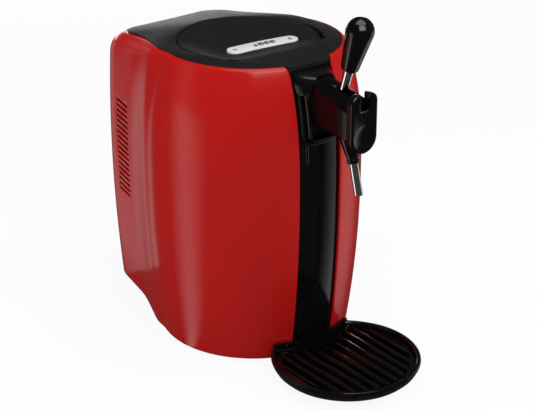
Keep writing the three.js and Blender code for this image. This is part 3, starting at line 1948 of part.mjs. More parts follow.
function dripTray() {
  const outer = turned(
    [
      [0, 0],
      [tray.footRadius, 0],
      [(tray.footRadius + tray.bellyRadius) / 2, tray.bellyHeight / 3],
      [tray.bellyRadius, tray.bellyHeight],
      [tray.radius - 1.4 * tray.floor, tray.height * 0.62],
      [tray.radius, tray.height - tray.floor / 2],
      [tray.radius - tray.floor / 3, tray.height],
      [0, tray.height],
    ],
    tray.centre,
    roundSides,
  );
  const inner = trayInnerRadius();
  const bowl = turned(
    [
      [0, tray.floor],
      [tray.innerFootRadius, tray.floor],
      [inner - tray.ledgeWidth, tray.ledge - tray.floor],
      [inner - tray.ledgeWidth, tray.ledge],
      [inner, tray.ledge],
      [inner + tray.floor / 3, tray.height + overrun],
      [0, tray.height + overrun],
    ],
    tray.centre,
    roundSides,
  );
  const back = trayBackRadius();
  const body = drum(0, back, -overrun, tray.backHeight + overrun, 2 * roundSides);
  const behind = drum(0, back + tray.backWall, 0, tray.backHeight + 2 * overrun, 2 * roundSides);
  const rimBand = drum(tray.centre, tray.radius - tray.floor / 3, tray.ledge, tray.backHeight);
  const raised = rimBand.intersect(behind);
  const ledge = behindLedge(back);
  const dished = cut(join(cut(outer, cut(bowl, behind)), raised, ledge), body);
  const tongue = box(
    -tray.tongueHalf,
    tray.tongueHalf,
    -back - tray.backWall / 2,
    -back + tray.tongueLength,
    tray.tongueBottom,
    tray.tongueTop,
  );
  return join(dished, tongue);
}

// The ledge that carries the grate along the tray's back wall
function behindLedge(back) {
  const ring = drum(0, back + tray.backWall + tray.ledgeWidth, tray.floor, tray.ledge, 2 * roundSides);
  return ring.intersect(drum(tray.centre, trayInnerRadius() - overrun, tray.floor, tray.ledge));
}

function grateOutline(margin, z0, z1) {
  const round = drum(tray.centre, trayInnerRadius() - grate.margin - margin, z0, z1);
  const back = trayBackRadius() + tray.backWall + grate.margin + margin;
  return cut(round, drum(0, back, z0 - overrun, z1 + overrun, 2 * roundSides));
}

// The grate: a plate with slots, and a raised rib between each pair of slots
function dripGrate() {
  const low = tray.ledge + gap;
  const top = low + grate.thickness;
  const plate = grateOutline(0, low, top);
  const field = grateOutline(grate.border, low - overrun, top + grate.ribRise + overrun);
  const pitch = grate.ribWidth + grate.slotWidth;
  const front = tray.centre - tray.radius;
  const slots = [];
  const ribs = [];
  for (let i = 0; i < grate.ribs; i++) {
    const x = (i - (grate.ribs - 1) / 2) * pitch;
    const half = grate.ribWidth / 2;
    const crown = new THREE.Shape();
    crown.moveTo(x - half, low);
    crown.lineTo(x + half, low);
    crown.lineTo(x + half, top);
    crown.lineTo(x + half - grate.ribChamfer, top + grate.ribRise);
    crown.lineTo(x - half + grate.ribChamfer, top + grate.ribRise);
    crown.lineTo(x - half, top);
    ribs.push(alongY(crown, front, 0).intersect(field));
    if (i + 1 < grate.ribs) {
      const next = x + half;
      slots.push(box(next, next + grate.slotWidth, front, 0, low - overrun, top + overrun).intersect(field));
    }
  }
  return join(cut(plate, ...slots), ...ribs);
}

// Finishes
function finish(color, roughness, metalness = 0) {
  return new THREE.MeshStandardMaterial({ color, roughness, metalness });
}

const redGloss = finish(0xb4161a, 0.18);
const blackGloss = finish(0x0c0c0d, 0.15);
const blackSatin = finish(0x2c2c2e, 0.45);
const chrome = finish(0xd8d8da, 0.08, 1);
const brushed = finish(0xb8bab8, 0.35, 1);
const aluminium = finish(0xc4c6c8, 0.4, 1);
const foam = finish(0xe8e4d8, 0.9);
const rubber = finish(0x1a1a1a, 0.8);
const plasticGrey = finish(0x55585a, 0.6);
const boardGreen = finish(0x1f5a34, 0.6);
const lampClear = finish(0xdfe6e2, 0.2);

const whole = new THREE.Group();
const tapGroup = new THREE.Group();
const lidGroup = new THREE.Group();
const coolerGroup = new THREE.Group();
const trayGroup = new THREE.Group();
whole.add(tapGroup, lidGroup, coolerGroup, trayGroup);

function place(group, name, made, material) {
  const mesh = new THREE.Mesh(geometryOf(made), material);
  mesh.name = name;
  group.add(mesh);
}

const shellSide = rightShell();
place(whole, "right_side_shell", shellSide, redGloss);
place(whole, "left_side_shell", mirrored(shellSide), redGloss);
place(whole, "front_column", frontColumn(), blackGloss);
place(whole, "rear_panel", rearPanel(), blackSatin);
screwSpots().forEach(([x, z], i) => {
  place(whole, "rear_panel_screw_" + (i + 1), panelScrew(x, z), chrome);
});
place(whole, "base_plate", basePlate(), blackSatin);
const footSpots = [
  ["foot_front_left", -foot.frontX, foot.frontY],
  ["foot_front_right", foot.frontX, foot.frontY],
  ["foot_rear_left", -foot.rearX, foot.rearY],
  ["foot_rear_right", foot.rearX, foot.rearY],
];
footSpots.forEach(([name, x, y]) => place(whole, name, footSolid(x, y), rubber));
place(whole, "top_cover", topCover(), blackSatin);

place(lidGroup, "lid", lid(), blackSatin);
place(lidGroup, "lid_liner", lidLiner(), plasticGrey);
place(lidGroup, "lid_seal", lidSeal(), rubber);
place(lidGroup, "lid_hinge_pin", lidHingePin(), chrome);
place(lidGroup, "display_strip", displayStrip(), brushed);
place(lidGroup, "power_light", stripLight(-1), lampClear);
place(lidGroup, "temperature_light", stripLight(1), lampClear);

place(tapGroup, "tap_bezel", tapBezel(), blackGloss);
place(tapGroup, "tap_body", tapBody(), blackGloss);
place(tapGroup, "tap_front_plate", tapFrontPlate(), blackGloss);
place(tapGroup, "lever_cam", leverCam(), blackSatin);
place(tapGroup, "lever_stem", leverStem(), chrome);
place(tapGroup, "lever_knob", leverKnob(), blackGloss);
place(tapGroup, "lever_pivot_pin", pivotPin(), chrome);
place(tapGroup, "lever_spring", leverSpringCoil(), aluminium);
place(tapGroup, "lever_stop_pin", leverStopPin(), chrome);
place(tapGroup, "pinch_bar", pinchBarSolid(), plasticGrey);
place(tapGroup, "beer_hose", beerHose(), foam);
place(tapGroup, "nozzle_cone", nozzleCone(), blackGloss);
place(tapGroup, "nozzle_tube", nozzleTube(), chrome);

place(coolerGroup, "keg_well", kegWell(), aluminium);
place(coolerGroup, "keg_pad", kegPadDisc(), rubber);
place(coolerGroup, "insulation_sleeve", insulationSleeve(), foam);
place(coolerGroup, "well_stand", wellStand(), plasticGrey);
place(coolerGroup, "cold_block", coldBlock(), aluminium);
place(coolerGroup, "cooling_module", coolingModule(), lampClear);
place(coolerGroup, "heat_sink", heatSink(), aluminium);
place(coolerGroup, "fan_frame", fanFrame(), plasticGrey);
place(coolerGroup, "fan_rotor", fanRotor(), blackSatin);
place(coolerGroup, "power_supply", powerSupply(), plasticGrey);
place(coolerGroup, "control_board", controlBoard(), boardGreen);
place(coolerGroup, "switch_frame", switchFrame(), blackSatin);
place(coolerGroup, "power_switch", rocker(), blackGloss);
place(coolerGroup, "power_inlet", powerInlet(), blackSatin);

place(trayGroup, "drip_tray", dripTray(), blackGloss);
place(trayGroup, "drip_grate", dripGrate(), blackGloss);

// The box runs from the tray's front to the housing's rear
whole.position.y = -(housing.rear + tray.centre - tray.radius) / 2;

export default whole;
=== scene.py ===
"""A cooled dispenser for a small beer keg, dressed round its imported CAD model."""

import math

import bpy
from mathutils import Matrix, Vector


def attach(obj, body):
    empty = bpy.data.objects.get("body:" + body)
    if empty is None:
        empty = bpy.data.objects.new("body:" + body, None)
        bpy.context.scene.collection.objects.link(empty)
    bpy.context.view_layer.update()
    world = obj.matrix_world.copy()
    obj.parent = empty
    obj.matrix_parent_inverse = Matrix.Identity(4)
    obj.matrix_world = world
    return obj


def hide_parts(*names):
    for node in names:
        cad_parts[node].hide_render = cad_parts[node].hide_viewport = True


bl_info = {
    "name": "Mini keg dispenser",
    "version": (1, 0, 0),
    "blender": (4, 5, 0),
    "location": "3D View > Sidebar > Keg Dispenser",
    "description": "Builds the visible pieces, finishes and studio of a cooled keg dispenser",
    "category": "Object",
}

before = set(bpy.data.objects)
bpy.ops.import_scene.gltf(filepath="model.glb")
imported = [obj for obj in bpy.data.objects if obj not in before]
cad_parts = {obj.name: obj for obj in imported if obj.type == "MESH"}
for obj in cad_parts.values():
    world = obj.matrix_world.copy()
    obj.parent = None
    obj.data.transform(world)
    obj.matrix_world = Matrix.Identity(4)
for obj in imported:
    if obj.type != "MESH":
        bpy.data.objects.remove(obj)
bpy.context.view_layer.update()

# Sizes are written in millimetres about the barrel's axis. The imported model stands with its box
# centred on the origin, so every point is moved back by CENTRE_Y on its way into the mesh.
MM = 0.001
CENTRE_Y = 33.5

# The least radius of a turned ring, so that it can still be pulled on to the next one
TINY = 0.02
FULL_TURN = 2 * math.pi


# Working with meshes


def at(x, y, z):
    """A point in metres, from millimetres about the barrel's axis."""
    return Vector((x * MM, (y + CENTRE_Y) * MM, z * MM))


def drop_selection():
    if bpy.context.object and bpy.context.object.mode != "OBJECT":
        bpy.ops.object.mode_set(mode="OBJECT")
    bpy.ops.object.select_all(action="DESELECT")


def choose(piece):
    drop_selection()
    piece.select_set(True)
    bpy.context.view_layer.objects.active = piece


def settle(piece):
    """Puts the piece's place into its mesh."""
    choose(piece)
    bpy.ops.object.transform_apply(location=True, rotation=True, scale=True)
    return piece


def edit_all(piece):
    """Opens the piece for editing with all of it chosen."""
    choose(piece)
    bpy.ops.object.mode_set(mode="EDIT")
    bpy.ops.mesh.select_all(action="SELECT")


def add_object(name, data):
    piece = bpy.data.objects.new(name, data)
    bpy.context.scene.collection.objects.link(piece)
    return piece


def coat(piece, finish):
    piece.data.materials.clear()
    piece.data.materials.append(finish)


def surface(name, points, faces):
    """A mesh from worked-out points, for forms that follow a formula."""
    mesh = bpy.data.meshes.new(name)
    mesh.from_pydata(points, [], faces)
    mesh.validate()
    mesh.update()
    return add_object(name, mesh)


def tidy_mesh(piece, distance=2e-5):
    """Merges points that meet and turns every face outwards."""
    edit_all(piece)
    bpy.ops.mesh.remove_doubles(threshold=distance)
    bpy.ops.mesh.normals_make_consistent(inside=False)
    bpy.ops.object.mode_set(mode="OBJECT")
    return piece


def grid(name, columns, around=False):
    """A skin over columns of points. around joins the last column to the first."""
    rows = len(columns[0])
    points = [p for column in columns for p in column]
    faces = []
    for i in range(len(columns) if around else len(columns) - 1):
        left = i * rows
        right = (i + 1) % len(columns) * rows
        for j in range(rows - 1):
            faces.append((left + j, right + j, right + j + 1, left + j + 1))
    return surface(name, points, faces)


def loft(name, loops, cap=True):
    """A solid through closed loops of points."""
    count = len(loops[0])
    points = [p for loop in loops for p in loop]
    faces = []
    for i in range(len(loops) - 1):
        low, high = i * count, (i + 1) * count
        for j in range(count):
            k = (j + 1) % count
            faces.append((low + j, low + k, high + k, high + j))
    if cap:
        faces.append(tuple(reversed(range(count))))
        last = (len(loops) - 1) * count
        faces.append(tuple(range(last, last + count)))
    return tidy_mesh(surface(name, points, faces))


def modify(piece, kind, **settings):
    """Gives the piece a modifier and applies it at once."""
    choose(piece)
    made = piece.modifiers.new(kind.title(), kind)
    for setting, value in settings.items():
        setattr(made, setting, value)
    bpy.ops.object.modifier_apply(modifier=made.name)
    return piece


def soften(piece, width, segments, angle):
    """Rounds the edges that are sharper than an angle."""
    limit = {"limit_method": "ANGLE", "angle_limit": math.radians(angle)}
    rounding = {"width": width * MM, "segments": segments, "use_clamp_overlap": True}
    return modify(piece, "BEVEL", **limit, **rounding)


def join_all(name, pieces):
    drop_selection()
    for piece in pieces:
        piece.select_set(True)
    bpy.context.view_layer.objects.active = pieces[0]
    if len(pieces) > 1:
        bpy.ops.object.join()
    pieces[0].name = name
    return pieces[0]


def carve(piece, *cutters, operation="DIFFERENCE"):
    """Cuts away, joins or keeps the shared part of other shapes, which are used up."""
    for cutter in cutters:
        modify(piece, "BOOLEAN", object=cutter, operation=operation, solver="EXACT")
        bpy.data.objects.remove(cutter)
    return piece


def block(name, low, high, edge=0.0, segments=3):
    """A box between two corners, with rounded edges."""
    middle = [(a + b) / 2 for a, b in zip(low, high)]
    size = [(b - a) * MM for a, b in zip(low, high)]
    drop_selection()
    bpy.ops.mesh.primitive_cube_add(size=1, location=at(*middle), scale=size)
    piece = bpy.context.object
    piece.name = name
    settle(piece)
    if edge:
        edit_all(piece)
        bpy.ops.mesh.bevel(offset=edge * MM, segments=segments, affect="EDGES")
        bpy.ops.object.mode_set(mode="OBJECT")
    return piece


def centred(name, half, ys, zs, edge=0.0, segments=3):
    """A box that is as wide to the left as to the right."""
    return block(name, (-half, ys[0], zs[0]), (half, ys[1], zs[1]), edge, segments)


def turned(name, stations, sides, origin=(0, 0, 0), direction=(0, 0, 1), closed=False):
    """A ring pulled up through (radius, height) stations along a direction, as on a lathe."""
    drop_selection()
    radius, height = stations[0]
    radius = max(radius, TINY)
    start = (0, 0, height * MM)
    bpy.ops.mesh.primitive_circle_add(vertices=sides, radius=radius * MM, location=start)
    piece = bpy.context.object
    piece.name = name
    edit_all(piece)
    rings = list(stations[1:]) + ([stations[0]] if closed else [])
    for next_radius, next_height in rings:
        next_radius = max(next_radius, TINY)
        lift = (0, 0, (next_height - height) * MM)
        bpy.ops.mesh.extrude_region_move(TRANSFORM_OT_translate={"value": lift})
        ratio = next_radius / radius
        centre = (0, 0, next_height * MM)
        bpy.ops.transform.resize(value=(ratio, ratio, 1), center_override=centre)
        radius, height = next_radius, next_height
    bpy.ops.mesh.select_all(action="SELECT")
    bpy.ops.mesh.remove_doubles(threshold=4e-6)
    if not closed:
        bpy.ops.mesh.select_all(action="DESELECT")
        bpy.ops.mesh.select_non_manifold()
        bpy.ops.mesh.fill_holes(sides=0)
        bpy.ops.mesh.select_all(action="SELECT")
    bpy.ops.mesh.normals_make_consistent(inside=False)
    bpy.ops.object.mode_set(mode="OBJECT")
    settle(piece)
    piece.rotation_mode = "QUATERNION"
    piece.rotation_quaternion = Vector((0, 0, 1)).rotation_difference(Vector(direction))
    piece.location = at(*origin)
    return settle(piece)


def rod(name, radius, half, sides, middle):
    """A round bar that lies across the dispenser."""
    return turned(name, [(radius, -half), (radius, half)], sides, middle, (1, 0, 0))


def post(name, radius, z0, z1, sides, x, y):
    """A round bar that stands upright."""
    return turned(name, [(radius, z0), (radius, z1)], sides, (x, y, 0))


def quarter(count):
    """The sine and the cosine at each step of a quarter turn."""
    angles = [math.pi / 2 * i / count for i in range(count + 1)]
    return [(math.sin(a), math.cos(a)) for a in angles]


def arc(centre, radius, start, end, count):
    """Points on an arc as pairs, with the angles in degrees."""
    found = []
    for i in range(count + 1):
        a = math.radians(start + (end - start) * i / count)
        found.append((centre[0] + radius * math.cos(a), centre[1] + radius * math.sin(a)))
    return found


def place(piece, body, slot, finish, *nodes):
    """Smooths a finished piece, gives it its finish and says what it rides on and stands for."""
    choose(piece)
    bpy.ops.object.shade_smooth_by_angle(angle=math.radians(35))
    coat(piece, finish)
    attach(piece, body)
    if nodes:
        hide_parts(*nodes)


def refinish(finish, nodes):
    """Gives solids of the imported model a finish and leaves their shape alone."""
    for name in nodes:
        coat(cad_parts[name], finish)


# Shader nodes


class Wire:
    """A shader value that takes part in sums like a number."""

    def __init__(self, tree, link):
        self.tree = tree
        self.link = link

    def sum_with(self, operation, first, second):
        made = self.tree.node("ShaderNodeMath", {"operation": operation}, {0: first, 1: second})
        return Wire(self.tree, made.outputs[0])

    def __add__(self, other):
        return self.sum_with("ADD", self, other)

    def __radd__(self, other):
        return self.sum_with("ADD", other, self)

    def __sub__(self, other):
        return self.sum_with("SUBTRACT", self, other)

    def __rsub__(self, other):
        return self.sum_with("SUBTRACT", other, self)

    def __mul__(self, other):
        return self.sum_with("MULTIPLY", self, other)

    def __rmul__(self, other):
        return self.sum_with("MULTIPLY", other, self)

    def __gt__(self, other):
        return self.sum_with("GREATER_THAN", self, other)


class Nodes:
    """A tree of shader nodes, with the few kinds that this file needs."""

    def __init__(self, tree, output="ShaderNodeOutputMaterial"):
        self.tree = tree
        self.tree.nodes.clear()
        self.output = self.node(output)

    def node(self, kind, settings=(), values=()):
        made = self.tree.nodes.new(kind)
        for key, value in dict(settings).items():
            setattr(made, key, value)
        for key, value in dict(values).items():
            self.feed(made.inputs[key], value)
        return made

    def feed(self, socket, value):
        if isinstance(value, Wire):
            self.tree.links.new(value.link, socket)
        else:
            socket.default_value = value

    def wire(self, made, output=0):
        return Wire(self, made.outputs[output])

    def show(self, made):
        """Makes a node the one that the surface shows."""
        self.tree.links.new(made.outputs[0], self.output.inputs["Surface"])

    def place(self, stretch=(1, 1, 1)):
        coordinates = self.node("ShaderNodeTexCoord")
        values = {"Vector": self.wire(coordinates, "Object"), "Scale": stretch}
        return self.wire(self.node("ShaderNodeMapping", {}, values))

    def noise(self, scale, detail=3.0, stretch=(1, 1, 1), roughness=0.5):
        values = {"Vector": self.place(stretch), "Scale": scale, "Detail": detail}
        values["Roughness"] = roughness
        return self.wire(self.node("ShaderNodeTexNoise", {}, values), "Fac")

    def cells(self, scale):
        made = self.node("ShaderNodeTexVoronoi", {}, {"Vector": self.place(), "Scale": scale})
        return self.wire(made, "Distance")

    def blend(self, factor, first, second):
        values = {"Factor": factor, 6: tuple(first) + (1,), 7: tuple(second) + (1,)}
        return self.wire(self.node("ShaderNodeMix", {"data_type": "RGBA"}, values), 2)

    def bump(self, height, strength, distance):
        values = {"Strength": strength, "Distance": distance, "Height": height}
        return self.wire(self.node("ShaderNodeBump", {}, values))

    def show_mixed(self, factor, first, second):
        """Shows two shaders, the second one by a factor."""
        mix = self.node("ShaderNodeMixShader", {}, {0: factor})
        self.tree.links.new(first.outputs[0], mix.inputs[1])
        self.tree.links.new(second.outputs[0], mix.inputs[2])
        self.show(mix)


def new_material(name):
    material = bpy.data.materials.new(name)
    material.use_nodes = True
    return material


class Finish(Nodes):
    """One material with its shader."""

    def __init__(self, name):
        self.material = new_material(name)
        super().__init__(self.material.node_tree)
        self.shader = self.node("ShaderNodeBsdfPrincipled")
        self.show(self.shader)

    def set(self, **values):
        """Feeds the shader's sockets, which are named with _ for a space."""
        for key, value in values.items():
            self.feed(self.shader.inputs[key.replace("_", " ").title()], value)

    def fix(self, socket, value):
        """Sets a number that is the same all over the surface."""
        self.shader.inputs[socket].default_value = value


def darker(colour, share):
    return tuple(c * share for c in colour)


def gloss_plastic(name, colour, rough, ior, ripple=0.04):
    """Polished moulding: a deep colour under a clear skin, with the faint ripple of the mould."""
    made = Finish(name)
    drift = made.noise(9.0, 2.0)
    haze = made.noise(60.0, 4.0)
    ripples = made.noise(220.0, 2.0)
    made.set(
        base_color=made.blend(drift, darker(colour, 0.94), colour),
        roughness=rough - 0.03 + 0.06 * haze,
        normal=made.bump(ripples, ripple, 0.0002),
    )
    made.fix("IOR", ior)
    return made.material


def grained_plastic(name, colour, rough, grain, depth, lift=1.3):
    """Satin moulding with the fine leather-like grain of an etched tool."""
    made = Finish(name)
    cells = made.cells(grain)
    patches = made.noise(14.0, 3.0)
    made.set(
        base_color=made.blend(patches, darker(colour, 0.9), darker(colour, lift)),
        roughness=rough - 0.06 + 0.12 * made.noise(90.0, 3.0),
        normal=made.bump(cells, depth, 0.00012),
    )
    made.fix("IOR", 1.14)
    return made.material


def metal(name, colour, rough, lines, scale, depth, spread, metallic=1.0):
    """Bare metal, with its polish or brushing along the direction that lines stretches least."""
    made = Finish(name)
    brushing = made.noise(scale, 5.0, lines, 0.6)
    made.set(
        base_color=made.blend(made.noise(25.0), darker(colour, 0.93), colour),
        roughness=rough - spread / 2 + spread * brushing,
        normal=made.bump(brushing, depth, 0.00005),
        metallic=metallic,
    )
    return made.material


def foam(name, colour):
    """Open cells of stiff foam."""
    made = Finish(name)
    made.set(
        base_color=made.blend(made.cells(450.0), colour, darker(colour, 0.75)),
        roughness=0.85 + 0.1 * made.noise(200.0),
        normal=made.bump(made.cells(450.0), 0.6, 0.0008),
    )
    return made.material


def circuit(name, colour):
    """Green lacquer over copper tracks that run in straight lanes."""
    made = Finish(name)
    lanes = made.noise(160.0, 1.0, (1, 1, 0.08)) > 0.52
    crossings = made.noise(140.0, 1.0, (0.08, 1, 1)) > 0.58
    tracks = made.node("ShaderNodeMath", {"operation": "MAXIMUM"}, {0: lanes, 1: crossings})
    fade = made.wire(tracks)
    made.set(
        base_color=made.blend(fade, colour, darker(colour, 1.9)),
        roughness=0.35 + 0.1 * made.noise(300.0),
        normal=made.bump(fade, 0.3, 0.0001),
    )
    return made.material


def lens(name, colour, glow):
    """A frosted lens with a faint lamp behind it."""
    made = Finish(name)
    made.set(
        base_color=made.blend(made.noise(300.0), darker(colour, 0.85), colour),
        roughness=0.12 + 0.05 * made.noise(500.0),
        coat_weight=0.5,
        emission_color=glow,
    )
    made.fix("Emission Strength", 0.12)
    return made.material


FINISHES = {}


# The body's shape, the same formula as the solids follow


GAP = 0.3
BARREL = {
    "radius": 137.0, "bottom_radius": 121.8, "top_radius": 114.6, "bottom": 6.0,
    "widest": 225.0, "top": 387.0, "lower_power": 2.2, "upper_power": 2.8,
}
HOUSING = {
    "half_width": 115.5, "flank": 128.5, "rear": 213.5, "middle": 45.0, "waist": 4.8,
    "waist_span": 160.0, "corner": 46.0, "flank_blend": 10.0, "valley": 26.0,
    "lift_start": 60.0, "lift_span": 57.0, "lift": 16.0,
}
TAPER = math.radians(11.75)
VALLEY_FROM = math.radians(75)
VALLEY_FULL = math.radians(100)
SHOULDER = {
    "least": 4.0, "growth": 21.0, "drop": 26.0, "start": 20.0, "span": 143.0,
    "tuck_slope": 0.46, "tuck_start": -40.0, "tuck_span": 50.0,
}
RIM = {"height": 389.2, "fall_start": 57.0, "fall_blend": 59.0, "slope": 0.172}
COLUMN = {"inset": 3.5, "half": 31.5, "hidden_half": 45.0, "bottom": 8.0, "top": 381.6, "skin": 3.0}
COLUMN_FLARE = {"width": 5.5, "height": 14.0}
DISH = {"centre": 11.0, "radius": 87.3}

# A distance that nothing reaches, and a share that counts as none
FAR = 9999.0
NEAR = 1e-4


def smooth_step(t):
    t = min(max(t, 0.0), 1.0)
    return t * t * (3 - 2 * t)


def soft_less(a, b, blend):
    """The lesser of two numbers, blended where they are close."""
    near = max(blend - abs(a - b), 0) / max(blend, NEAR)
    return min(a, b) - near * near * blend / 4


def soft_more(a, b, blend):
    return -soft_less(-a, -b, blend)


def barrel_radius(z):
    """The barrel is widest above its middle and closes in faster the further it is from there."""
    widest, radius = BARREL["widest"], BARREL["radius"]
    if z < widest:
        t = max((widest - z) / (widest - BARREL["bottom"]), 0)
        return radius - (radius - BARREL["bottom_radius"]) * t ** BARREL["lower_power"]
    t = (z - widest) / (BARREL["top"] - widest)
    return radius - (radius - BARREL["top_radius"]) * t ** BARREL["upper_power"]


def housing_swell(z):
    return -HOUSING["waist"] * ((z - BARREL["widest"]) / HOUSING["waist_span"]) ** 2


def reach(angle, z):
    """How far the skin is from the housing's middle line, at an angle from the front."""
    ahead, aside = math.cos(angle), math.sin(angle)
    swell = housing_swell(z)
    middle = HOUSING["middle"]
    radius = barrel_radius(z)
    to_barrel = middle * ahead + math.sqrt(radius * radius - (middle * aside) ** 2)
    run = math.cos(TAPER) * aside - math.sin(TAPER) * ahead
    flank = HOUSING["flank"] + swell - math.sin(TAPER) * middle
    to_flank = min(flank / run, FAR) if run > NEAR else FAR
    to_side = min((HOUSING["half_width"] + swell) / aside, FAR) if aside > NEAR else FAR
    to_rear = min((HOUSING["rear"] + swell - middle) / -ahead, FAR) if ahead < -NEAR else FAR
    to_front = min(middle / ahead, FAR) if ahead > NEAR else FAR
    sides = min(soft_less(to_flank, to_side, HOUSING["flank_blend"]), to_front)
    to_housing = soft_less(sides, to_rear, HOUSING["corner"])
    valley = smooth_step((angle - VALLEY_FROM) / (VALLEY_FULL - VALLEY_FROM))
    return soft_more(to_barrel, to_housing, HOUSING["valley"] * valley)


def outline(angle, z, inset=0.0):
    r = reach(angle, z) - inset
    return (r * math.sin(angle), HOUSING["middle"] - r * math.cos(angle), z)


def rim_height(y):
    """The rim is level in front and falls away towards the rear."""
    past = y - RIM["fall_start"]
    return RIM["height"] - RIM["slope"] * (past + math.hypot(past, RIM["fall_blend"])) / 2


def bottom_height(y):
    """The housing's underside is lifted behind the barrel."""
    share = smooth_step((y - HOUSING["lift_start"]) / HOUSING["lift_span"])
    return BARREL["bottom"] + HOUSING["lift"] * share


def shoulder_at(angle):
    """The shoulder's inset, drop and top, which is tucked under the cover's edge at the rear."""
    y = outline(angle, BARREL["top"])[1]
    share = smooth_step((y - SHOULDER["start"]) / SHOULDER["span"])
    inset = SHOULDER["least"] + SHOULDER["growth"] * share
    drop = SHOULDER["least"] + SHOULDER["drop"] * share
    edge = outline(angle, BARREL["top"], inset)
    tuck = math.hypot(drop, SHOULDER["tuck_slope"] * inset) - drop
    behind = smooth_step((y - SHOULDER["tuck_start"]) / SHOULDER["tuck_span"])
    return inset, drop, rim_height(edge[1]) - tuck * behind


def skin(angle, up):
    """A point of the body's outer face: up is 0 at the bottom, 1 at the shoulder, 2 at the rim."""
    inset, drop, top = shoulder_at(angle)
    start = top - drop
    if up <= 1:
        low = bottom_height(outline(angle, BARREL["bottom"])[1])
        return outline(angle, low + (start - low) * up)
    bend = (up - 1) * math.pi / 2
    return outline(angle, start + drop * math.sin(bend), inset * (1 - math.cos(bend)))


def opening_half(z):
    """Half the width of the gap between the shells in front, which flares at its top corners."""
    straight = COLUMN["half"] + GAP
    start = RIM["height"] - COLUMN_FLARE["height"]
    if z <= start:
        return straight
    t = 1 - math.sqrt(max(1 - min((z - start) / COLUMN_FLARE["height"], 1), 0))
    return straight + COLUMN_FLARE["width"] * t * t


def opening_angle(up):
    """The angle at which a shell starts beside the column, found by halving."""
    low, high = 0.02, 0.9
    for _ in range(26):
        middle = (low + high) / 2
        x, _, z = skin(middle, up)
        if x < opening_half(z):
            low = middle
        else:
            high = middle
    return low


def spread_angles(count):
    """Angles from the front to the rear, closer together where the outline turns."""
    steps, turn_weight = 720, 80
    fine = [math.pi * i / steps for i in range(steps + 1)]
    points = [Vector(outline(a, BARREL["widest"])) for a in fine]
    sums = [0.0]
    for i in range(1, len(fine)):
        run = points[i] - points[i - 1]
        before = points[i - 1] - points[i - 2] if i > 1 else run
        sums.append(sums[-1] + run.length + turn_weight * run.angle(before))
    shares = []
    i = 0
    for k in range(count + 1):
        wanted = sums[-1] * k / count
        while i < steps and sums[i] < wanted:
            i += 1
        shares.append(fine[i] / math.pi)
    return shares


RIM_CIRCLE = {"height": 385.0, "rise": 4.0, "rear": 60.0, "span": 90.0}
BOWL = {
    "height": 382.2, "middle": 15.0, "back_rise": 2.3, "back_span": 80.0, "front_rise": 1.1,
    "front_span": 35.0, "side_rise": 8.0, "below_rim": 0.2, "blend": 3.0,
}


def rim_circle_height(y):
    """The height of the fixed cover along the lid's circle, which rises towards the front."""
    share = smooth_step((RIM_CIRCLE["rear"] - y) / RIM_CIRCLE["span"])
    return RIM_CIRCLE["height"] + RIM_CIRCLE["rise"] * share


def lid_height(x, y):
    """The lid's top: flush with the cover in front, and hollowed to a bowl behind the strip."""
    past = y - BOWL["middle"]
    back = BOWL["back_rise"] * (max(past, 0) / BOWL["back_span"]) ** 2
    front = BOWL["front_rise"] * (max(-past, 0) / BOWL["front_span"]) ** 2.6
    side = BOWL["side_rise"] * (abs(x) / DISH["radius"]) ** 6
    bowl = BOWL["height"] + back + front + side
    return soft_less(rim_circle_height(y) - BOWL["below_rim"], bowl, BOWL["blend"])


# The body: two shells, the column between them and the cover on top


LOUVRES = {
    "count": 18, "pitch": 7.35, "height": 3.4, "top": 285.0, "front": 128.0, "rear": 165.0,
    "inward": 34.0, "outward": 4.0, "edge": 1.5,
}
PANEL = {"half": 62.0, "bottom": 34.0, "top": 322.0, "corner": 12.0}
WALL = 2.5


def rounded_outline(x0, x1, z0, z1, corner, steps=10):
    """Points round a rectangle with rounded corners, as pairs."""
    found = []
    for cx, cz, start in (
        (x1 - corner, z0 + corner, -90),
        (x1 - corner, z1 - corner, 0),
        (x0 + corner, z1 - corner, 90),
        (x0 + corner, z0 + corner, 180),
    ):
        found += arc((cx, cz), corner, start, start + 90, steps)
    return found


def upright(pairs, y):
    """A loop of (x, z) pairs at one depth."""
    return [at(x, y, z) for x, z in pairs]


def prism_along_y(name, pairs, y0, y1):
    return loft(name, [upright(pairs, y) for y in (y0, y1)])


def prism_along_z(name, pairs, z0, z1):
    return loft(name, [[at(x, y, z) for x, y in pairs] for z in (z0, z1)])


def body_shell(side):
    """One side of the body, from the column to the middle of the rear, with its louvres."""
    shares = spread_angles(150)
    ups = [i / 56 for i in range(57)] + [1 + j / 12 for j in range(1, 13)]
    starts = [opening_angle(up) for up in ups]
    columns = []
    for share in shares:
        column = []
        for up, start in zip(ups, starts):
            x, y, z = skin(start + (math.pi - start) * share, up)
            column.append(at(side * max(x, GAP / 2), y, z))
        columns.append(column)
    if side < 0:
        columns.reverse()
    shell = grid("body_right" if side > 0 else "body_left", columns)
    modify(shell, "SOLIDIFY", thickness=WALL * MM, offset=-1, use_even_offset=True)
    half_width = HOUSING["half_width"]
    inner, outer = side * (half_width - LOUVRES["inward"]), side * (half_width + LOUVRES["outward"])
    slots = []
    for i in range(LOUVRES["count"]):
        top = LOUVRES["top"] - i * LOUVRES["pitch"]
        low = (min(inner, outer), LOUVRES["front"], top - LOUVRES["height"])
        high = (max(inner, outer), LOUVRES["rear"], top)
        slots.append(block("slot", low, high, LOUVRES["edge"]))
    carve(shell, join_all("slots", slots))
    half = PANEL["half"] + GAP
    low, high = PANEL["bottom"] - GAP, PANEL["top"] + GAP
    around = rounded_outline(-half, half, low, high, PANEL["corner"] + GAP)
    carve(shell, prism_along_y("opening", around, 190, HOUSING["rear"] + 5))
    return soften(shell, 0.5, 2, 50)


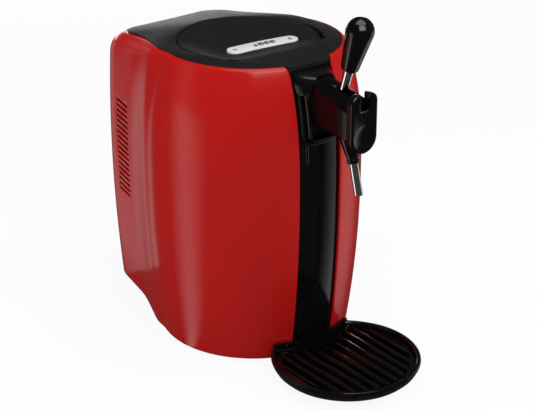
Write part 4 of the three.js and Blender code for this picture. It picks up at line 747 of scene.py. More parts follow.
def column_point(x, z, proud=0.0):
    """A point on the column's face, or in front of it."""
    r = barrel_radius(z) - COLUMN["inset"] + proud
    return at(x, -math.sqrt(r * r - x * x), z)


def column_solid(name, half, z0, z1, front, back, across=40, upward=90):
    """A curved slab that follows the column's face between two depths."""
    loops = []
    xs = [half * (2 * i / across - 1) for i in range(across + 1)]
    for j in range(upward + 1):
        z = z0 + (z1 - z0) * j / upward
        outer = [column_point(x, z, front) for x in xs]
        inner = [column_point(x, z, back) for x in reversed(xs)]
        loops.append(outer + inner)
    return loft(name, loops)


TAP = {
    "half": 18.0, "bottom": 319.0, "crest": 371.0, "crest_at": -191.0, "slope": 0.16,
    "back": -104.0, "neck_end": -178.0, "front": -201.7, "head_half": 18.6, "corner": 4.6,
    "wall": 4.0, "slot_half": 6.9, "slot_back": -165.5, "slot_bottom": 352.0,
}
HOOD = {
    "front": -138.0, "back": -106.0, "flare": -110.0, "base": 30.4, "wall": 2.2,
    "bottom": 357.0, "rise": 1.6, "top": 382.1, "plate_top": 375.0, "plate_inset": 2.0,
    "plate_corner": 11.0, "plate_proud": 1.4,
}
COLLAR = {
    "half": 20.2, "bottom": 317.0, "rise": 2.0, "corner": 6.0, "back": -100.0, "front": -134.5,
    "top": 376.0,
}
FLANGE = {"half": 25.0, "bottom": 303.0, "top": 362.0, "corner": 4.0, "thick": 3.0}
BEZEL = {"half": 29.5, "bottom": 292.0, "top": 392.0, "corner": 14.0}
PLATE = {
    "back": -202.0, "front": -212.0, "half": 19.6, "bottom": 303.6, "top": 377.0,
    "corner": 10.0, "edge": 2.4, "dish_radius": 16.7, "dish_depth": 3.6, "dish_height": 324.0,
    "slot_half": 6.65,
}
LEVER = {"y": -166.5, "z": 352.0, "lean": math.radians(18.6)}
LEVER_WAY = (0, -math.sin(LEVER["lean"]), math.cos(LEVER["lean"]))
LEVER_SEAT = (0, LEVER["y"], LEVER["z"])
CAP_PIN = (0, -207.0, 353.6)
SPOUT = {"y": -184.6, "top": 319.0, "bottom": 250.0, "lean": math.radians(15.6)}
SPOUT_WAY = (0, -math.sin(SPOUT["lean"]), -math.cos(SPOUT["lean"]))
SPOUT_SEAT = (0, SPOUT["y"], SPOUT["top"])


def crest_at(y):
    """The height of the tap's top, which rises from its front to the hood."""
    return TAP["crest"] + (min(y, HOOD["front"]) - TAP["crest_at"]) * TAP["slope"]


def neck_loft(name, ys, half, bottom, rise, corner):
    """Flat flanks with rounded lower edges under a half round top, along the tap's crest."""
    loops = []
    for y in ys:
        pairs = arc((0, crest_at(y) + rise - half), half, 0, 180, 36)
        pairs += arc((-half + corner, bottom + corner), corner, 180, 270, 8)
        pairs += arc((half - corner, bottom + corner), corner, 270, 360, 8)
        loops.append(upright(pairs, y))
    return loft(name, loops)


def neck_solid(grow, y0, y1, name="neck"):
    """The tap's outer form between two depths, grown by a margin."""
    ys = [y0, HOOD["front"], y1] if y0 > HOOD["front"] > y1 else [y0, y1]
    return neck_loft(name, ys, TAP["half"] + grow, TAP["bottom"] - grow, grow, TAP["corner"])


def column_face():
    half, skin_depth = COLUMN["hidden_half"], -COLUMN["skin"]
    made = column_solid("column_face", half, COLUMN["bottom"], COLUMN["top"], 0, skin_depth)
    return carve(made, neck_solid(GAP, TAP["back"] + 10, TAP["neck_end"]))


TONGUE = {
    "back": -60.0, "back_half": 52.0, "front": -104.0, "front_half": 42.5, "least_cosine": 0.2,
    "radius": 109.6, "lip_half": 31.2, "lip_radius": 113.2,
}
TONGUE_CORNERS = ((31.2, -108.8), (31.2, -105.2), (42.5, -101.3), (52.4, -58.5))
LID = {
    "fillet": 1.3, "wall": 2.5, "skin": 3.0, "bottom": 373.0, "front_bottom": 382.6,
    "front_from": 97.0, "eye": 0.05,
}
HINGE = {"y": 100.0, "z": 382.5, "radius": 2.0, "half": 14.0, "bore": 1.35, "pin_half": 26.3}
NOTCH = {"half": 14.5, "front": 60.0, "rear": 103.2, "bottom": 377.0, "top": 395.0}
LUG = {"inner": 18.0, "outer": 30.5, "reach": 4.5, "bottom": 377.0, "top": 382.4}
RING = {
    "gap": 1.0, "outer_gap": 0.5, "edge": 1.0, "fillet": 1.6, "crown": 0.8, "depth": 4.5,
    "wall": 3.0, "bottom": 372.4, "tongue_gap": 0.9, "tongue_angle": 0.75,
}


def cover_edge(angle):
    """The cover's outer edge, where it meets the shells."""
    inset, _, top = shoulder_at(angle)
    x, y, _ = outline(angle, top, inset + RING["outer_gap"])
    return x, y, rim_height(y)


def lid_reach(angle):
    """How far the lid's outline is from the dish's middle, at an angle from the front."""
    s, c = abs(math.sin(angle)), math.cos(angle)
    found = DISH["radius"]
    if c <= TONGUE["least_cosine"]:
        return found
    middle = DISH["centre"]

    def to_circle(radius):
        return middle * c + math.sqrt(max(radius * radius - (middle * s) ** 2, 0))

    lean = (TONGUE["back_half"] - TONGUE["front_half"]) / (TONGUE["back"] - TONGUE["front"])
    start = TONGUE["back_half"] + lean * (middle - TONGUE["back"])
    to_side = start / (s + lean * c)
    found = max(found, min(to_side, to_circle(TONGUE["radius"])))
    to_lip = TONGUE["lip_half"] / max(s, NEAR)
    return max(found, min(to_lip, to_circle(TONGUE["lip_radius"])))


def lid_angles(count=240):
    """Spokes round the lid, with extra ones at the outline's corners."""
    found = [FULL_TURN * i / count for i in range(count)]
    for x, y in TONGUE_CORNERS:
        corner = math.atan2(x, DISH["centre"] - y)
        for off in (-0.006, 0.0, 0.006):
            found += [corner + off, FULL_TURN - corner + off]
    return sorted(found)


def dish_spot(angle, radius):
    """A place at an angle from the front and at a distance from the dish's middle."""
    return radius * math.sin(angle), DISH["centre"] - radius * math.cos(angle)


def dish_points(angle, profile):
    """A profile of (radius, height) pairs, turned to an angle about the dish's middle."""
    return [at(*dish_spot(angle, radius), z) for radius, z in profile]


def hinge_rod(name, radius, half, sides=24):
    return rod(name, radius, half, sides, (0, HINGE["y"], HINGE["z"]))


def lid_shell():
    """The lid with its rounded edge, open below, and the knuckle of its hinge."""
    fillet, eye = LID["fillet"], LID["eye"]
    columns = []
    for angle in lid_angles():
        r = lid_reach(angle)

        def top_at(radius):
            return lid_height(*dish_spot(angle, radius))

        profile = [(eye, top_at(eye))]
        for i in range(1, 46):
            radius = (r - fillet) * (i / 46)
            profile.append((radius, top_at(radius)))
        edge = top_at(r - fillet)
        for s, c in quarter(6):
            profile.append((r - fillet + fillet * s, edge - fillet * (1 - c)))
        front = math.cos(angle) * r > LID["front_from"]
        low = LID["front_bottom"] if front else LID["bottom"]
        low = min(low, top_at(r) - fillet - 0.4)
        inner = r - LID["wall"]
        under = min(top_at(inner) - LID["skin"], max(low, top_at(r) - 3.2))
        profile += [(r, low), (inner, low), (inner, under)]
        profile += [(radius, top_at(radius) - LID["skin"]) for radius in (inner * 0.6, eye)]
        columns.append(dish_points(angle, profile))
    made = tidy_mesh(grid("lid_shell", columns, around=True), 1e-4)
    half, y = HINGE["half"], HINGE["y"]
    knuckle = hinge_rod("knuckle", HINGE["radius"], half, 32)
    arm = centred("arm", half, (y - 3.5, y), (380.0, 382.0))
    bore = hinge_rod("bore", HINGE["bore"], half + 6)
    hinge = carve(carve(knuckle, arm, operation="UNION"), bore)
    return join_all("lid_shell", [made, hinge])


def top_ring():
    """The fixed cover round the lid, with the tongue's way, the grooves and the hinge's lugs."""
    inner = DISH["radius"] + RING["gap"]
    edge, fillet, depth = RING["edge"], RING["fillet"], RING["depth"]
    wall = inner + RING["wall"]
    columns = []
    spread = [math.pi * s for s in spread_angles(110)]
    for angle in spread + [-a for a in reversed(spread[1:-1])]:
        x, y, z = cover_edge(abs(angle))
        x = math.copysign(x, angle) if 0 < abs(angle) < math.pi else 0.0
        far = math.hypot(x, y - DISH["centre"])
        about = math.atan2(x, DISH["centre"] - y)
        lip = rim_circle_height(dish_spot(about, inner)[1])

        def on_top(share):
            """Straight from the lip to the outer edge, with a slight crown."""
            wide = smooth_step((far - inner - 10) / 30)
            crown = RING["crown"] * math.sin(math.pi * share) * wide
            return lip + (z - lip) * share + crown

        profile = [(inner, RING["bottom"])]
        for s, c in quarter(5):
            profile.append((inner + fillet * (1 - c), on_top(0) - fillet * (1 - s)))
        for i in range(1, 12):
            share = i / 12
            radius = inner + fillet + (far - inner - fillet - edge) * share
            profile.append((radius, on_top(share)))
        for s, c in quarter(3):
            profile.append((far - edge + edge * s, z - edge * (1 - c)))
        profile += [(far, z - depth), (wall, lip - depth), (wall, RING["bottom"])]
        profile.append(profile[0])
        columns.append(dish_points(about, profile))
    made = tidy_mesh(grid("top_ring", columns, around=True), 1e-5)
    pairs = []
    for i in range(-60, 61):
        angle = RING["tongue_angle"] * i / 60
        pairs.append(dish_spot(angle, lid_reach(angle) + RING["tongue_gap"]))
    pairs += [(60, 20), (-60, 20)]
    carve(made, prism_along_z("tongue_way", pairs, 360, 400))
    ys, zs = (NOTCH["front"], NOTCH["rear"]), (NOTCH["bottom"], NOTCH["top"])
    carve(made, centred("notch", NOTCH["half"], ys, zs))
    lugs = []
    for side in (1, -1):
        carve(made, finger_groove(side))
        x0, x1 = sorted((side * LUG["inner"], side * LUG["outer"]))
        low = (x0, HINGE["y"] - LUG["reach"], LUG["bottom"])
        lugs.append(block("lug", low, (x1, HINGE["y"] + LUG["reach"], LUG["top"])))
    carve(made, join_all("lugs", lugs), operation="UNION")
    carve(made, hinge_rod("bore", HINGE["bore"], HINGE["pin_half"]))
    return soften(made, 0.35, 2, 55)


GROOVE = {
    "gap": 0.8, "start": 90.0, "end": 48.0, "overlap": 2.0, "width": 1.0, "widening": 6.6,
    "bottom": 384.4, "bulb_out": 3.2, "bulb_z": 389.2,
}
BULB = [(0, -4.8), (3.6, -4.6), (5.6, -3.6), (6.8, -1.8), (7.2, 0.6), (7.2, 8), (0, 8)]


def finger_groove(side):
    """A groove that widens along the circle and ends in a round hollow for a fingertip."""
    near, far = [], []
    r = DISH["radius"] + GROOVE["gap"]

    def spot(angle, radius):
        x, y = dish_spot(angle, radius)
        return side * x, y

    for i in range(41):
        share = i / 40
        angle = math.radians(GROOVE["start"] - (GROOVE["start"] - GROOVE["end"]) * share)
        width = GROOVE["width"] + GROOVE["widening"] * share**1.3
        near.append(spot(angle, r - GROOVE["overlap"]))
        far.append(spot(angle, r + width))
    groove = prism_along_z("groove", far + near[::-1], GROOVE["bottom"], 400)
    x, y = spot(math.radians(GROOVE["end"]), r + GROOVE["bulb_out"])
    bulb = turned("bulb", BULB, 40, (x, y, GROOVE["bulb_z"]))
    return carve(groove, bulb, operation="UNION")


# The strip on the lid, with its lamps and symbols


STRIP = {
    "middle": -20.8, "reach": 45.6, "slope": 0.116, "bow": 2.4, "half": 10.2, "end": 0.075,
    "lift": 0.25, "skin": 1.2, "tilt": 0.13,
}
LAMP_SPOTS = (0.0776, 0.9224)
INK = 0.28


def strip_point(t):
    """A point on the strip's middle line: t runs from 0 at the left end to 1 at the right."""
    side = 2 * t - 1
    x = STRIP["reach"] * side
    return x, STRIP["middle"] - STRIP["slope"] * x + STRIP["bow"] * (1 - side * side)


def strip_frame(t):
    """A point on the middle line, with the directions along and across it."""
    x0, y0 = strip_point(t - 0.001)
    x1, y1 = strip_point(t + 0.001)
    run = Vector((x1 - x0, y1 - y0, 0)).normalized()
    return Vector((*strip_point(t), 0)), run, Vector((-run.y, run.x, 0))


def strip_outline(margin):
    """Round the strip: along one edge, round the end, back and round the other end."""
    inset = STRIP["end"]
    half = STRIP["half"] - margin
    found = []
    for end, sign in ((inset, 1), (1 - inset, -1)):
        for i in range(33):
            t = end + sign * (1 - 2 * inset) * i / 32
            middle, _, side = strip_frame(t)
            found.append(middle - sign * side * half)
        middle, run, side = strip_frame(1 - end)
        for i in range(1, 12):
            a = math.pi * i / 12
            found.append(middle + sign * (run * half * math.sin(a) - side * half * math.cos(a)))
    return found


def strip_height(p, tilt=STRIP["tilt"]):
    """The strip's underside, raised toward its rear edge so that it faces the drinker."""
    side = p.x / STRIP["reach"]
    middle = STRIP["middle"] - STRIP["slope"] * p.x + STRIP["bow"] * (1 - side * side)
    return lid_height(p.x, p.y) + STRIP["lift"] + tilt * (p.y - middle + STRIP["half"])


def strip_plate():
    skin, inner = STRIP["skin"], STRIP["half"] - 0.05

    def loop(margin, lift, tilt=STRIP["tilt"]):
        return [at(p.x, p.y, strip_height(p, tilt) + lift) for p in strip_outline(margin)]

    low = loop(inner, 0, 0.0)
    steps = ((0, skin - 0.5), (0.15, skin - 0.15), (0.5, skin), (inner, skin))
    loops = [low, loop(0, 0, 0.0)] + [loop(*step) for step in steps] + [low]
    made = loft("strip_plate", loops, cap=False)
    for t in LAMP_SPOTS:
        carve(made, post("hole", 3.3, 370, 395, 40, *strip_point(t)))
    return made


def strip_seat(t):
    """A place on the strip's middle line and the height of its face there."""
    x, y = strip_point(t)
    return x, y, strip_height(Vector((x, y, 0))) + STRIP["skin"]


def lay_on_strip(piece, x, y, z, turn=0):
    """Turns a symbol's part about the origin of the sheet and lays it on the strip."""
    choose(piece)
    centre = at(0, 0, 0)
    bpy.ops.transform.rotate(value=turn, orient_axis="Z", center_override=centre)
    lean = math.atan(STRIP["tilt"])
    bpy.ops.transform.rotate(value=-lean, orient_axis="X", center_override=centre)
    bpy.ops.transform.translate(value=(x * MM, y * MM, z * MM))
    return settle(piece)


def icon_bar(x, y, z, width, length):
    bar = centred("bar", width / 2, (-length / 2, length / 2), (0, INK))
    return lay_on_strip(bar, x, y, z)


def power_icon():
    """A ring with a gap at its top and a short bar in the gap."""
    x, y, z = strip_seat(LAMP_SPOTS[0])
    outer, inner = (arc((0, 0), radius, 125, 415, 40) for radius in (2.7, 2.05))
    ring = prism_along_z("ring", outer + inner[::-1], 0, INK)
    lay_on_strip(ring, x, y, z)
    return join_all("power_icon", [ring, icon_bar(x, y + 1.6, z, 0.65, 3.0)])


def thermometer_icon():
    x, y, z = strip_seat(LAMP_SPOTS[1])
    bulb = turned("bulb", [(0, 0), (1.35, 0), (1.35, INK), (0, INK)], 24)
    lay_on_strip(bulb, x, y - 2.2, z)
    tube = icon_bar(x, y + 0.9, z, 1.15, 4.8)
    marks = [icon_bar(x + 1.6, y + 0.4 + 1.3 * i, z, 1.1, 0.35) for i in range(3)]
    return join_all("thermometer_icon", [bulb, tube] + marks)


def level_icon():
    """A pointer and three blocks that stand for how full the keg is."""
    turn = -0.12
    parts = []
    for t in (0.49, 0.58, 0.67):
        outer = centred("block", 3.3, (-4.2, 4.2), (0, INK), 0.1, 1)
        carve(outer, centred("slit", 0.9, (-2.0, 2.0), (-1, 1)))
        parts.append(lay_on_strip(outer, *strip_seat(t), turn))
    pointer = prism_along_z("pointer", [(-3.4, -4.0), (3.4, -4.0), (0, 4.2)], 0, INK)
    parts.append(lay_on_strip(pointer, *strip_seat(0.4), turn))
    return join_all("level_icon", parts)


def strip_lamp(name, t):
    """A low lens with a bevelled edge."""
    x, y = strip_point(t)
    z = strip_height(Vector((x, y, 0)))
    return turned(name, [(3.0, z), (3.0, z + 1.0), (2.8, z + 1.2), (0, z + 1.2)], 48, (x, y, 0))


# The tap and its surround


def ridge(name, margin, width, proud):
    """A rounded ridge that runs round the tap's opening on the column's face."""
    half = BEZEL["half"] - margin - width / 2
    corner = BEZEL["corner"] - margin - width / 2
    inset = margin + width / 2
    around = rounded_outline(-half, half, BEZEL["bottom"] + inset, BEZEL["top"] - inset, corner, 12)
    line = []
    longest = 3
    for i, (x, z) in enumerate(around):
        nx, nz = around[(i + 1) % len(around)]
        count = max(int(math.hypot(nx - x, nz - z) / longest), 1)
        line += [(x + (nx - x) * k / count, z + (nz - z) * k / count) for k in range(count)]
    columns = []
    for i, (x, z) in enumerate(line):
        px, pz = line[i - 1]
        nx, nz = line[(i + 1) % len(line)]
        run = Vector((nx - px, nz - pz)).normalized()
        out = Vector((run.y, -run.x))
        column = []
        for k in range(19):
            a = math.pi * k / 18
            off = -math.cos(a) * width / 2
            high = proud * max(math.sin(a), 0) ** 0.36
            column.append(column_point(x + out.x * off, z + out.y * off, 0.2 + high))
        column.append(column_point(x, z, 0.15))
        column.append(column[0].copy())
        columns.append(column)
    made = tidy_mesh(grid(name, columns, around=True), 1e-5)
    return carve(made, centred("above", 60, (-160, -60), (HOOD["bottom"] + 1, 400)))


def hood_loop(y):
    """The hood's rounded arch, which narrows and sinks from the cover to the tap."""
    t = max((y - HOOD["flare"]) / (HOOD["front"] - HOOD["flare"]), 0)
    end = TAP["half"] + HOOD["wall"]
    half = HOOD["base"] - (HOOD["base"] - end) * t**1.7
    top = HOOD["top"] + (crest_at(HOOD["front"]) + HOOD["rise"] - HOOD["top"]) * smooth_step(t)
    power = 2 / (2.6 + 1.6 * (1 - t))
    loop = []
    for i in range(49):
        a = math.pi * i / 48
        c, s = math.cos(a), math.sin(a)
        x = half * math.copysign(abs(c) ** power, c)
        loop.append(at(x, y, HOOD["bottom"] + (top - HOOD["bottom"]) * abs(s) ** power))
    return loop


def guide_rib(x):
    """A thin upright rib on the column's face, under the tap's surround."""
    low, high, half, proud = 269.0, 298.0, 0.7, 1.3
    loops = []
    for i in range(13):
        z = low + (high - low) * i / 12
        lift = proud * min(1.0, 0.25 + i / 4)
        around = ((-half, 0.1), (half, 0.1), (half, lift), (0, lift + 0.3), (-half, lift))
        loops.append([column_point(x + aside, z, out) for aside, out in around])
    return loft("guide_rib", loops)


def hood():
    """The surround: a hood over the tap, a plate on the column and a collar round the neck."""

    def column_slab(name, half, z0, z1, front, back):
        return column_solid(name, half, z0, z1, front, back, 24, 30)

    ys = [HOOD["back"] + (HOOD["front"] - HOOD["back"]) * i / 24 for i in range(25)]
    made = loft("hood", [hood_loop(y) for y in ys])
    inset, top = HOOD["plate_inset"], HOOD["plate_top"]
    half, low = BEZEL["half"] - inset, BEZEL["bottom"] + inset
    shape = rounded_outline(-half, half, low, top, HOOD["plate_corner"])
    plate = prism_along_y("plate", shape, -60, -140)
    slab = column_slab("slab", 32, 285, 384, HOOD["plate_proud"], GAP)
    carve(plate, slab, operation="INTERSECT")
    depths, corner = (COLLAR["back"], COLLAR["front"]), COLLAR["corner"]
    half, low, rise = COLLAR["half"], COLLAR["bottom"], COLLAR["rise"]
    collar = neck_loft("collar", depths, half, low, rise, corner)
    carve(collar, centred("collar_top", 60, (-150, -60), (COLLAR["top"], 400)))
    for piece in (collar, made):
        carve(piece, column_slab("behind", 46, 280, 395, GAP, -60))
    carve(made, plate, collar, operation="UNION")
    carve(made, centred("above", 60, (-130, -60), (HOOD["top"] + 0.1, 400)))
    carve(made, neck_solid(GAP, -60, HOOD["front"] - 3))
    return soften(made, 0.6, 3, 40)


def tap_neck():
    """The tap's hollow body, with its flange, its head and the lever's slot."""
    back, front, bottom, wall = TAP["back"], TAP["front"], TAP["bottom"], TAP["wall"]
    neck = neck_solid(0, back, TAP["neck_end"], "tap_neck")
    depths = (TAP["neck_end"] + 2, front)
    head = neck_loft("head", depths, TAP["head_half"], bottom, GAP, TAP["corner"])
    half, low, high, corner = (FLANGE[key] for key in ("half", "bottom", "top", "corner"))
    shape = rounded_outline(-half, half, low, high, corner)
    flange = prism_along_y("flange", shape, back + FLANGE["thick"], back)
    carve(neck, head, flange, operation="UNION")
    depths = (back + 4, front - 2)
    carve(neck, neck_loft("inside", depths, TAP["half"] - wall, bottom + 3, -wall, 2))
    ys, zs = (front - 4, TAP["slot_back"]), (TAP["slot_bottom"], 400)
    carve(neck, centred("slot", TAP["slot_half"], ys, zs, 2.5, 4))
    carve(neck, post("drain", 9.3, 310, 330, 40, 0, SPOUT["y"]))
    carve(neck, rod("pin_hole", 2.15, 16.5, 32, LEVER_SEAT))
    return soften(neck, 0.5, 2, 40)


def plate_outline(margin):
    """Round the front plate: a half circle below and two rounded corners above."""
    half = PLATE["half"] - margin
    centre = PLATE["bottom"] + PLATE["half"]
    corner = PLATE["corner"] - margin / 2
    top = PLATE["top"] - margin
    pairs = arc((0, centre), half, 180, 360, 40)
    pairs += arc((half - corner, top - corner), corner, 0, 90, 12)
    pairs += arc((-half + corner, top - corner), corner, 90, 180, 12)
    return pairs


def front_plate():
    """The tap's rounded front, with its dish and the cap's slot."""
    back, front, edge = PLATE["back"], PLATE["front"], PLATE["edge"]
    loops = [upright(plate_outline(0), back)]
    for s, c in quarter(8):
        loops.append(upright(plate_outline(edge * (1 - c)), front + edge * (1 - s)))
    made = loft("front_plate", loops)
    r, depth = PLATE["dish_radius"], PLATE["dish_depth"]
    bowl = [(0, -depth)]
    for i in range(1, 15):
        share = i / 14
        bowl.append((r * share, -depth * (1 - share**2.2)))
    bowl += [(r + 0.8, 0.5), (r + 0.8, 3), (0, 3)]
    carve(made, turned("bowl", bowl, 72, (0, front, PLATE["dish_height"]), (0, -1, 0)))
    ys, zs = (front - 4, back + 4), (TAP["slot_bottom"], 400)
    carve(made, centred("slot", PLATE["slot_half"], ys, zs, 2.2, 4))
    carve(made, rod("pin_hole", 1.55, 9.8, 24, CAP_PIN))
    return soften(made, 0.35, 2, 45)


def lever_stem():
    stations = [(5.3, 15.4), (5.3, 17), (5.55, 28), (5.9, 40), (6.3, 50.4)]
    stations += [(5.9, 51), (4, 51), (4, 78)]
    return turned("lever_stem_turned", stations, 64, LEVER_SEAT, LEVER_WAY)


def lever_knob():
    """A cone that meets the ball at its top without a crease."""
    low, start, centre, radius, edge = 10.7, 51.4, 103.4, 16.8, 1.5
    stations = [(4.3, 79), (4.3, start), (low - edge, start)]
    for degrees in (20, 40, 60, 80):
        a = math.radians(degrees)
        stations.append((low - edge + edge * math.sin(a), start + edge - edge * math.cos(a)))
    first = -math.asin((radius - low) / (centre - start))
    for i in range(33):
        a = first + (math.pi / 2 - first) * i / 32
        stations.append((radius * math.cos(a), centre + radius * math.sin(a)))
    return turned("lever_knob_turned", stations, 96, LEVER_SEAT, LEVER_WAY)


def spout_cone():
    stations = [(4.6, -15), (12.6, -15), (12.6, 0), (12.3, 3), (9.9, 16), (6.9, 29), (7.6, 29)]
    stations += [(7.6, 33.4), (7.2, 34), (5.6, 34), (5.6, 27.7), (4.6, 27.7)]
    made = turned("spout_cone", stations, 72, SPOUT_SEAT, SPOUT_WAY, closed=True)
    carve(made, centred("above", 40, (-230, -120), (SPOUT["top"] - GAP, 360)))
    return soften(made, 0.4, 2, 40)


def spout_tube():
    """The tube is turned a little too long and cut off level."""
    end = (SPOUT["top"] - SPOUT["bottom"]) / math.cos(SPOUT["lean"]) + 5.3
    stations = [(4.3, 28), (5.3, 28), (5.3, end), (4.3, end)]
    made = turned("spout_tube", stations, 56, SPOUT_SEAT, SPOUT_WAY, closed=True)
    return carve(made, centred("below", 40, (-240, -120), (200, SPOUT["bottom"])))


# The drip tray and its grate


TRAY = {"centre": -187.5, "height": 26.0, "inner": 86.4, "gap": 3.2, "back_wall": 5.2}
BACK_RIM = {"bottom": 16.5, "top": 29.5, "ledge": 3.5}
TRAY_OUTSIDE = [(0, 0), (55, 0), (58, 0.4), (66, 2.0), (76, 5.0), (84, 9.6), (88.6, 14.0)]
TRAY_OUTSIDE += [(91.2, 18.6), (92.5, 21.4), (93.0, 23.2), (92.8, 24.5), (92.0, 25.6)]
TRAY_OUTSIDE += [(90.6, 26.0), (0, 26.0)]
TRAY_INSIDE = [(0, 3), (62, 3), (85, 13.5), (85, 16.5), (86.4, 16.5), (86.7, 23.8)]
TRAY_INSIDE += [(87.5, 25.3), (89.6, 26.8), (0, 28)]
GRATE = {
    "bottom": 16.8, "top": 20.0, "rib_top": 22.6, "pitch": 14.6, "rib": 6.6, "count": 11,
    "chamfer": 1.6, "border": 5.5,
}


def tray_back():
    """The radius of the tray's rear face, which lies round the barrel."""
    return barrel_radius(TRAY["height"]) + TRAY["gap"]


def drum(radius, z0, z1, y=0.0):
    return post("drum", radius, z0, z1, 160, 0, y)


def tray_turned(name, stations):
    return turned(name, stations, 160, (0, TRAY["centre"], 0))


def tray_bowl():
    """A turned bowl that the barrel cuts into, with a wall and a ledge along the cut."""
    back, low, high = tray_back(), BACK_RIM["bottom"], BACK_RIM["top"]
    wall = back + TRAY["back_wall"]
    made = tray_turned("tray_bowl", TRAY_OUTSIDE)
    bowl = tray_turned("bowl", TRAY_INSIDE)
    carve(bowl, drum(wall, -2, 40))
    carve(made, bowl)
    edge = [(92.0, low), (92.0, high - 0.6), (91.4, high), (0, high), (0, low)]
    rim = tray_turned("rim", edge)
    carve(rim, drum(wall, low, 40), operation="INTERSECT")
    ledge = drum(wall + BACK_RIM["ledge"], 3, low)
    carve(ledge, drum(86.5, 3, low, TRAY["centre"]), operation="INTERSECT")
    carve(made, rim, ledge, operation="UNION")
    carve(made, drum(back, -2, 40))
    tongue = centred("tongue", 24, (-back - 2.6, -back + 24), (0.6, 4.4))
    carve(made, tongue, operation="UNION")
    return soften(made, 0.7, 3, 40)


def grate_way(margin, z0, z1):
    """The space that the grate lies in, or a smaller one."""
    made = drum(TRAY["inner"] - 1 - margin, z0, z1, TRAY["centre"])
    return carve(made, drum(tray_back() + TRAY["back_wall"] + 1 + margin, z0 - 2, z1 + 2))


def grate():
    """A plate with a slot beside each of its rounded ribs."""
    low, top, rise = GRATE["bottom"], GRATE["top"], GRATE["rib_top"]
    made = grate_way(0, low, top)
    soften(made, 0.6, 3, 40)
    pitch, width, count, chamfer = (GRATE[key] for key in ("pitch", "rib", "count", "chamfer"))
    half = width / 2
    front = TRAY["centre"] - 95
    slots, ribs = [], []
    for i in range(count):
        x = (i - (count - 1) / 2) * pitch
        crown = [(x - half, low + 0.2), (x + half, low + 0.2), (x + half, top - 0.4)]
        crown += [(x + half - 0.6, top + 1.0), (x + half - chamfer, rise - 0.25)]
        crown += [(x + half - chamfer - 0.6, rise), (x - half + chamfer + 0.6, rise)]
        crown += [(x - half + chamfer, rise - 0.25), (x - half + 0.6, top + 1.0)]
        crown += [(x - half, top - 0.4)]
        ribs.append(prism_along_y("rib", crown, front, 0))
        if i + 1 < count:
            high = (x + half + pitch - width, 0, top + 3)
            slots.append(block("slot", (x + half, front, low - 3), high))
    gaps = join_all("gaps", slots)
    carve(gaps, grate_way(GRATE["border"], low - 2, top + 6), operation="INTERSECT")
    carve(made, gaps)
    bars = join_all("bars", ribs)
    carve(bars, grate_way(GRATE["border"] - 0.5, low, 30), operation="INTERSECT")
    carve(made, bars, operation="UNION")
    return soften(made, 0.3, 2, 45)


# The well and what closes it


def well_turned(name, stations, closed=False):
    return turned(name, stations, 120, (0, DISH["centre"], 0), closed=closed)


def well_pot():
    stations = [(0, 98.5), (81, 98.5), (84.4, 99.6), (85.5, 103), (85.5, 356.2), (89.5, 356.2)]
    stations += [(89.5, 369.7), (104.5, 369.7), (104.5, 371.7), (89.6, 371.7), (88.4, 371.2)]
    stations += [(88, 370), (88, 357.7), (84.8, 357.7), (84, 357), (84, 104), (83, 101)]
    stations += [(80, 100), (0, 100)]
    return well_turned("well_pot", stations)


def lid_liner():
    stations = [(0, 368.8), (68, 368.8), (70, 368.4), (75, 363.2), (76.4, 362.8), (84.8, 362.8)]
    stations += [(85.5, 363.4), (85.5, 372.7), (82.5, 372.7), (82.5, 378.9), (0, 378.9)]
    return well_turned("lid_liner_moulding", stations)


def lid_seal():
    stations = [(81.5, 359.3), (82.2, 358.5), (83.7, 358.3), (85.3, 358.5), (86, 359.3)]
    stations += [(86, 362.5), (81.5, 362.5)]
    return well_turned("lid_seal_ring", stations, closed=True)


# Finishes


def make_finishes(colours):
    red, black, satin = tuple(colours.red), tuple(colours.black), tuple(colours.satin)
    silver = tuple(1.4 * c for c in colours.silver)
    ink, grey, rubber = (0.03, 0.03, 0.032), (0.23, 0.235, 0.24), (0.02, 0.02, 0.021)
    even = (1, 1, 1)
    FINISHES.update(
        red=gloss_plastic("red_gloss", red, 0.2, 1.36),
        black=gloss_plastic("black_gloss", black, 0.13, 1.45),
        neck=gloss_plastic("neck_gloss", black, 0.13, 1.25),
        surround=gloss_plastic("surround_gloss", black, 0.2, 1.5),
        hose=gloss_plastic("hose_clear", (0.55, 0.56, 0.55), 0.3, 1.35, 0.1),
        satin=grained_plastic("black_satin", satin, 0.42, 1700.0, 0.3),
        ink=grained_plastic("icon_ink", ink, 0.5, 2500.0, 0.1),
        grey=grained_plastic("grey_plastic", grey, 0.45, 1500.0, 0.2, 1.15),
        rubber=grained_plastic("rubber", rubber, 0.75, 2600.0, 0.2),
        ceramic=grained_plastic("ceramic", (0.72, 0.71, 0.68), 0.6, 3000.0, 0.1, 1.1),
        strip=metal("strip_silver", silver, 0.32, (1, 14, 1), 900.0, 0.08, 0.12, 0.35),
        chrome=metal("chrome", (0.82, 0.82, 0.83), 0.07, even, 300.0, 0.03, 0.06),
        aluminium=metal("spun_aluminium", (0.62, 0.63, 0.64), 0.34, (1, 1, 26), 500.0, 0.12, 0.12),
        steel=metal("steel_wire", (0.5, 0.5, 0.51), 0.25, even, 500.0, 0.05, 0.1),
        foam=foam("foam", (0.74, 0.72, 0.66)),
        board=circuit("board_green", (0.02, 0.11, 0.05)),
        lens=lens("frosted_lens", (0.55, 0.56, 0.56), (0.5, 0.5, 0.5, 1)),
    )


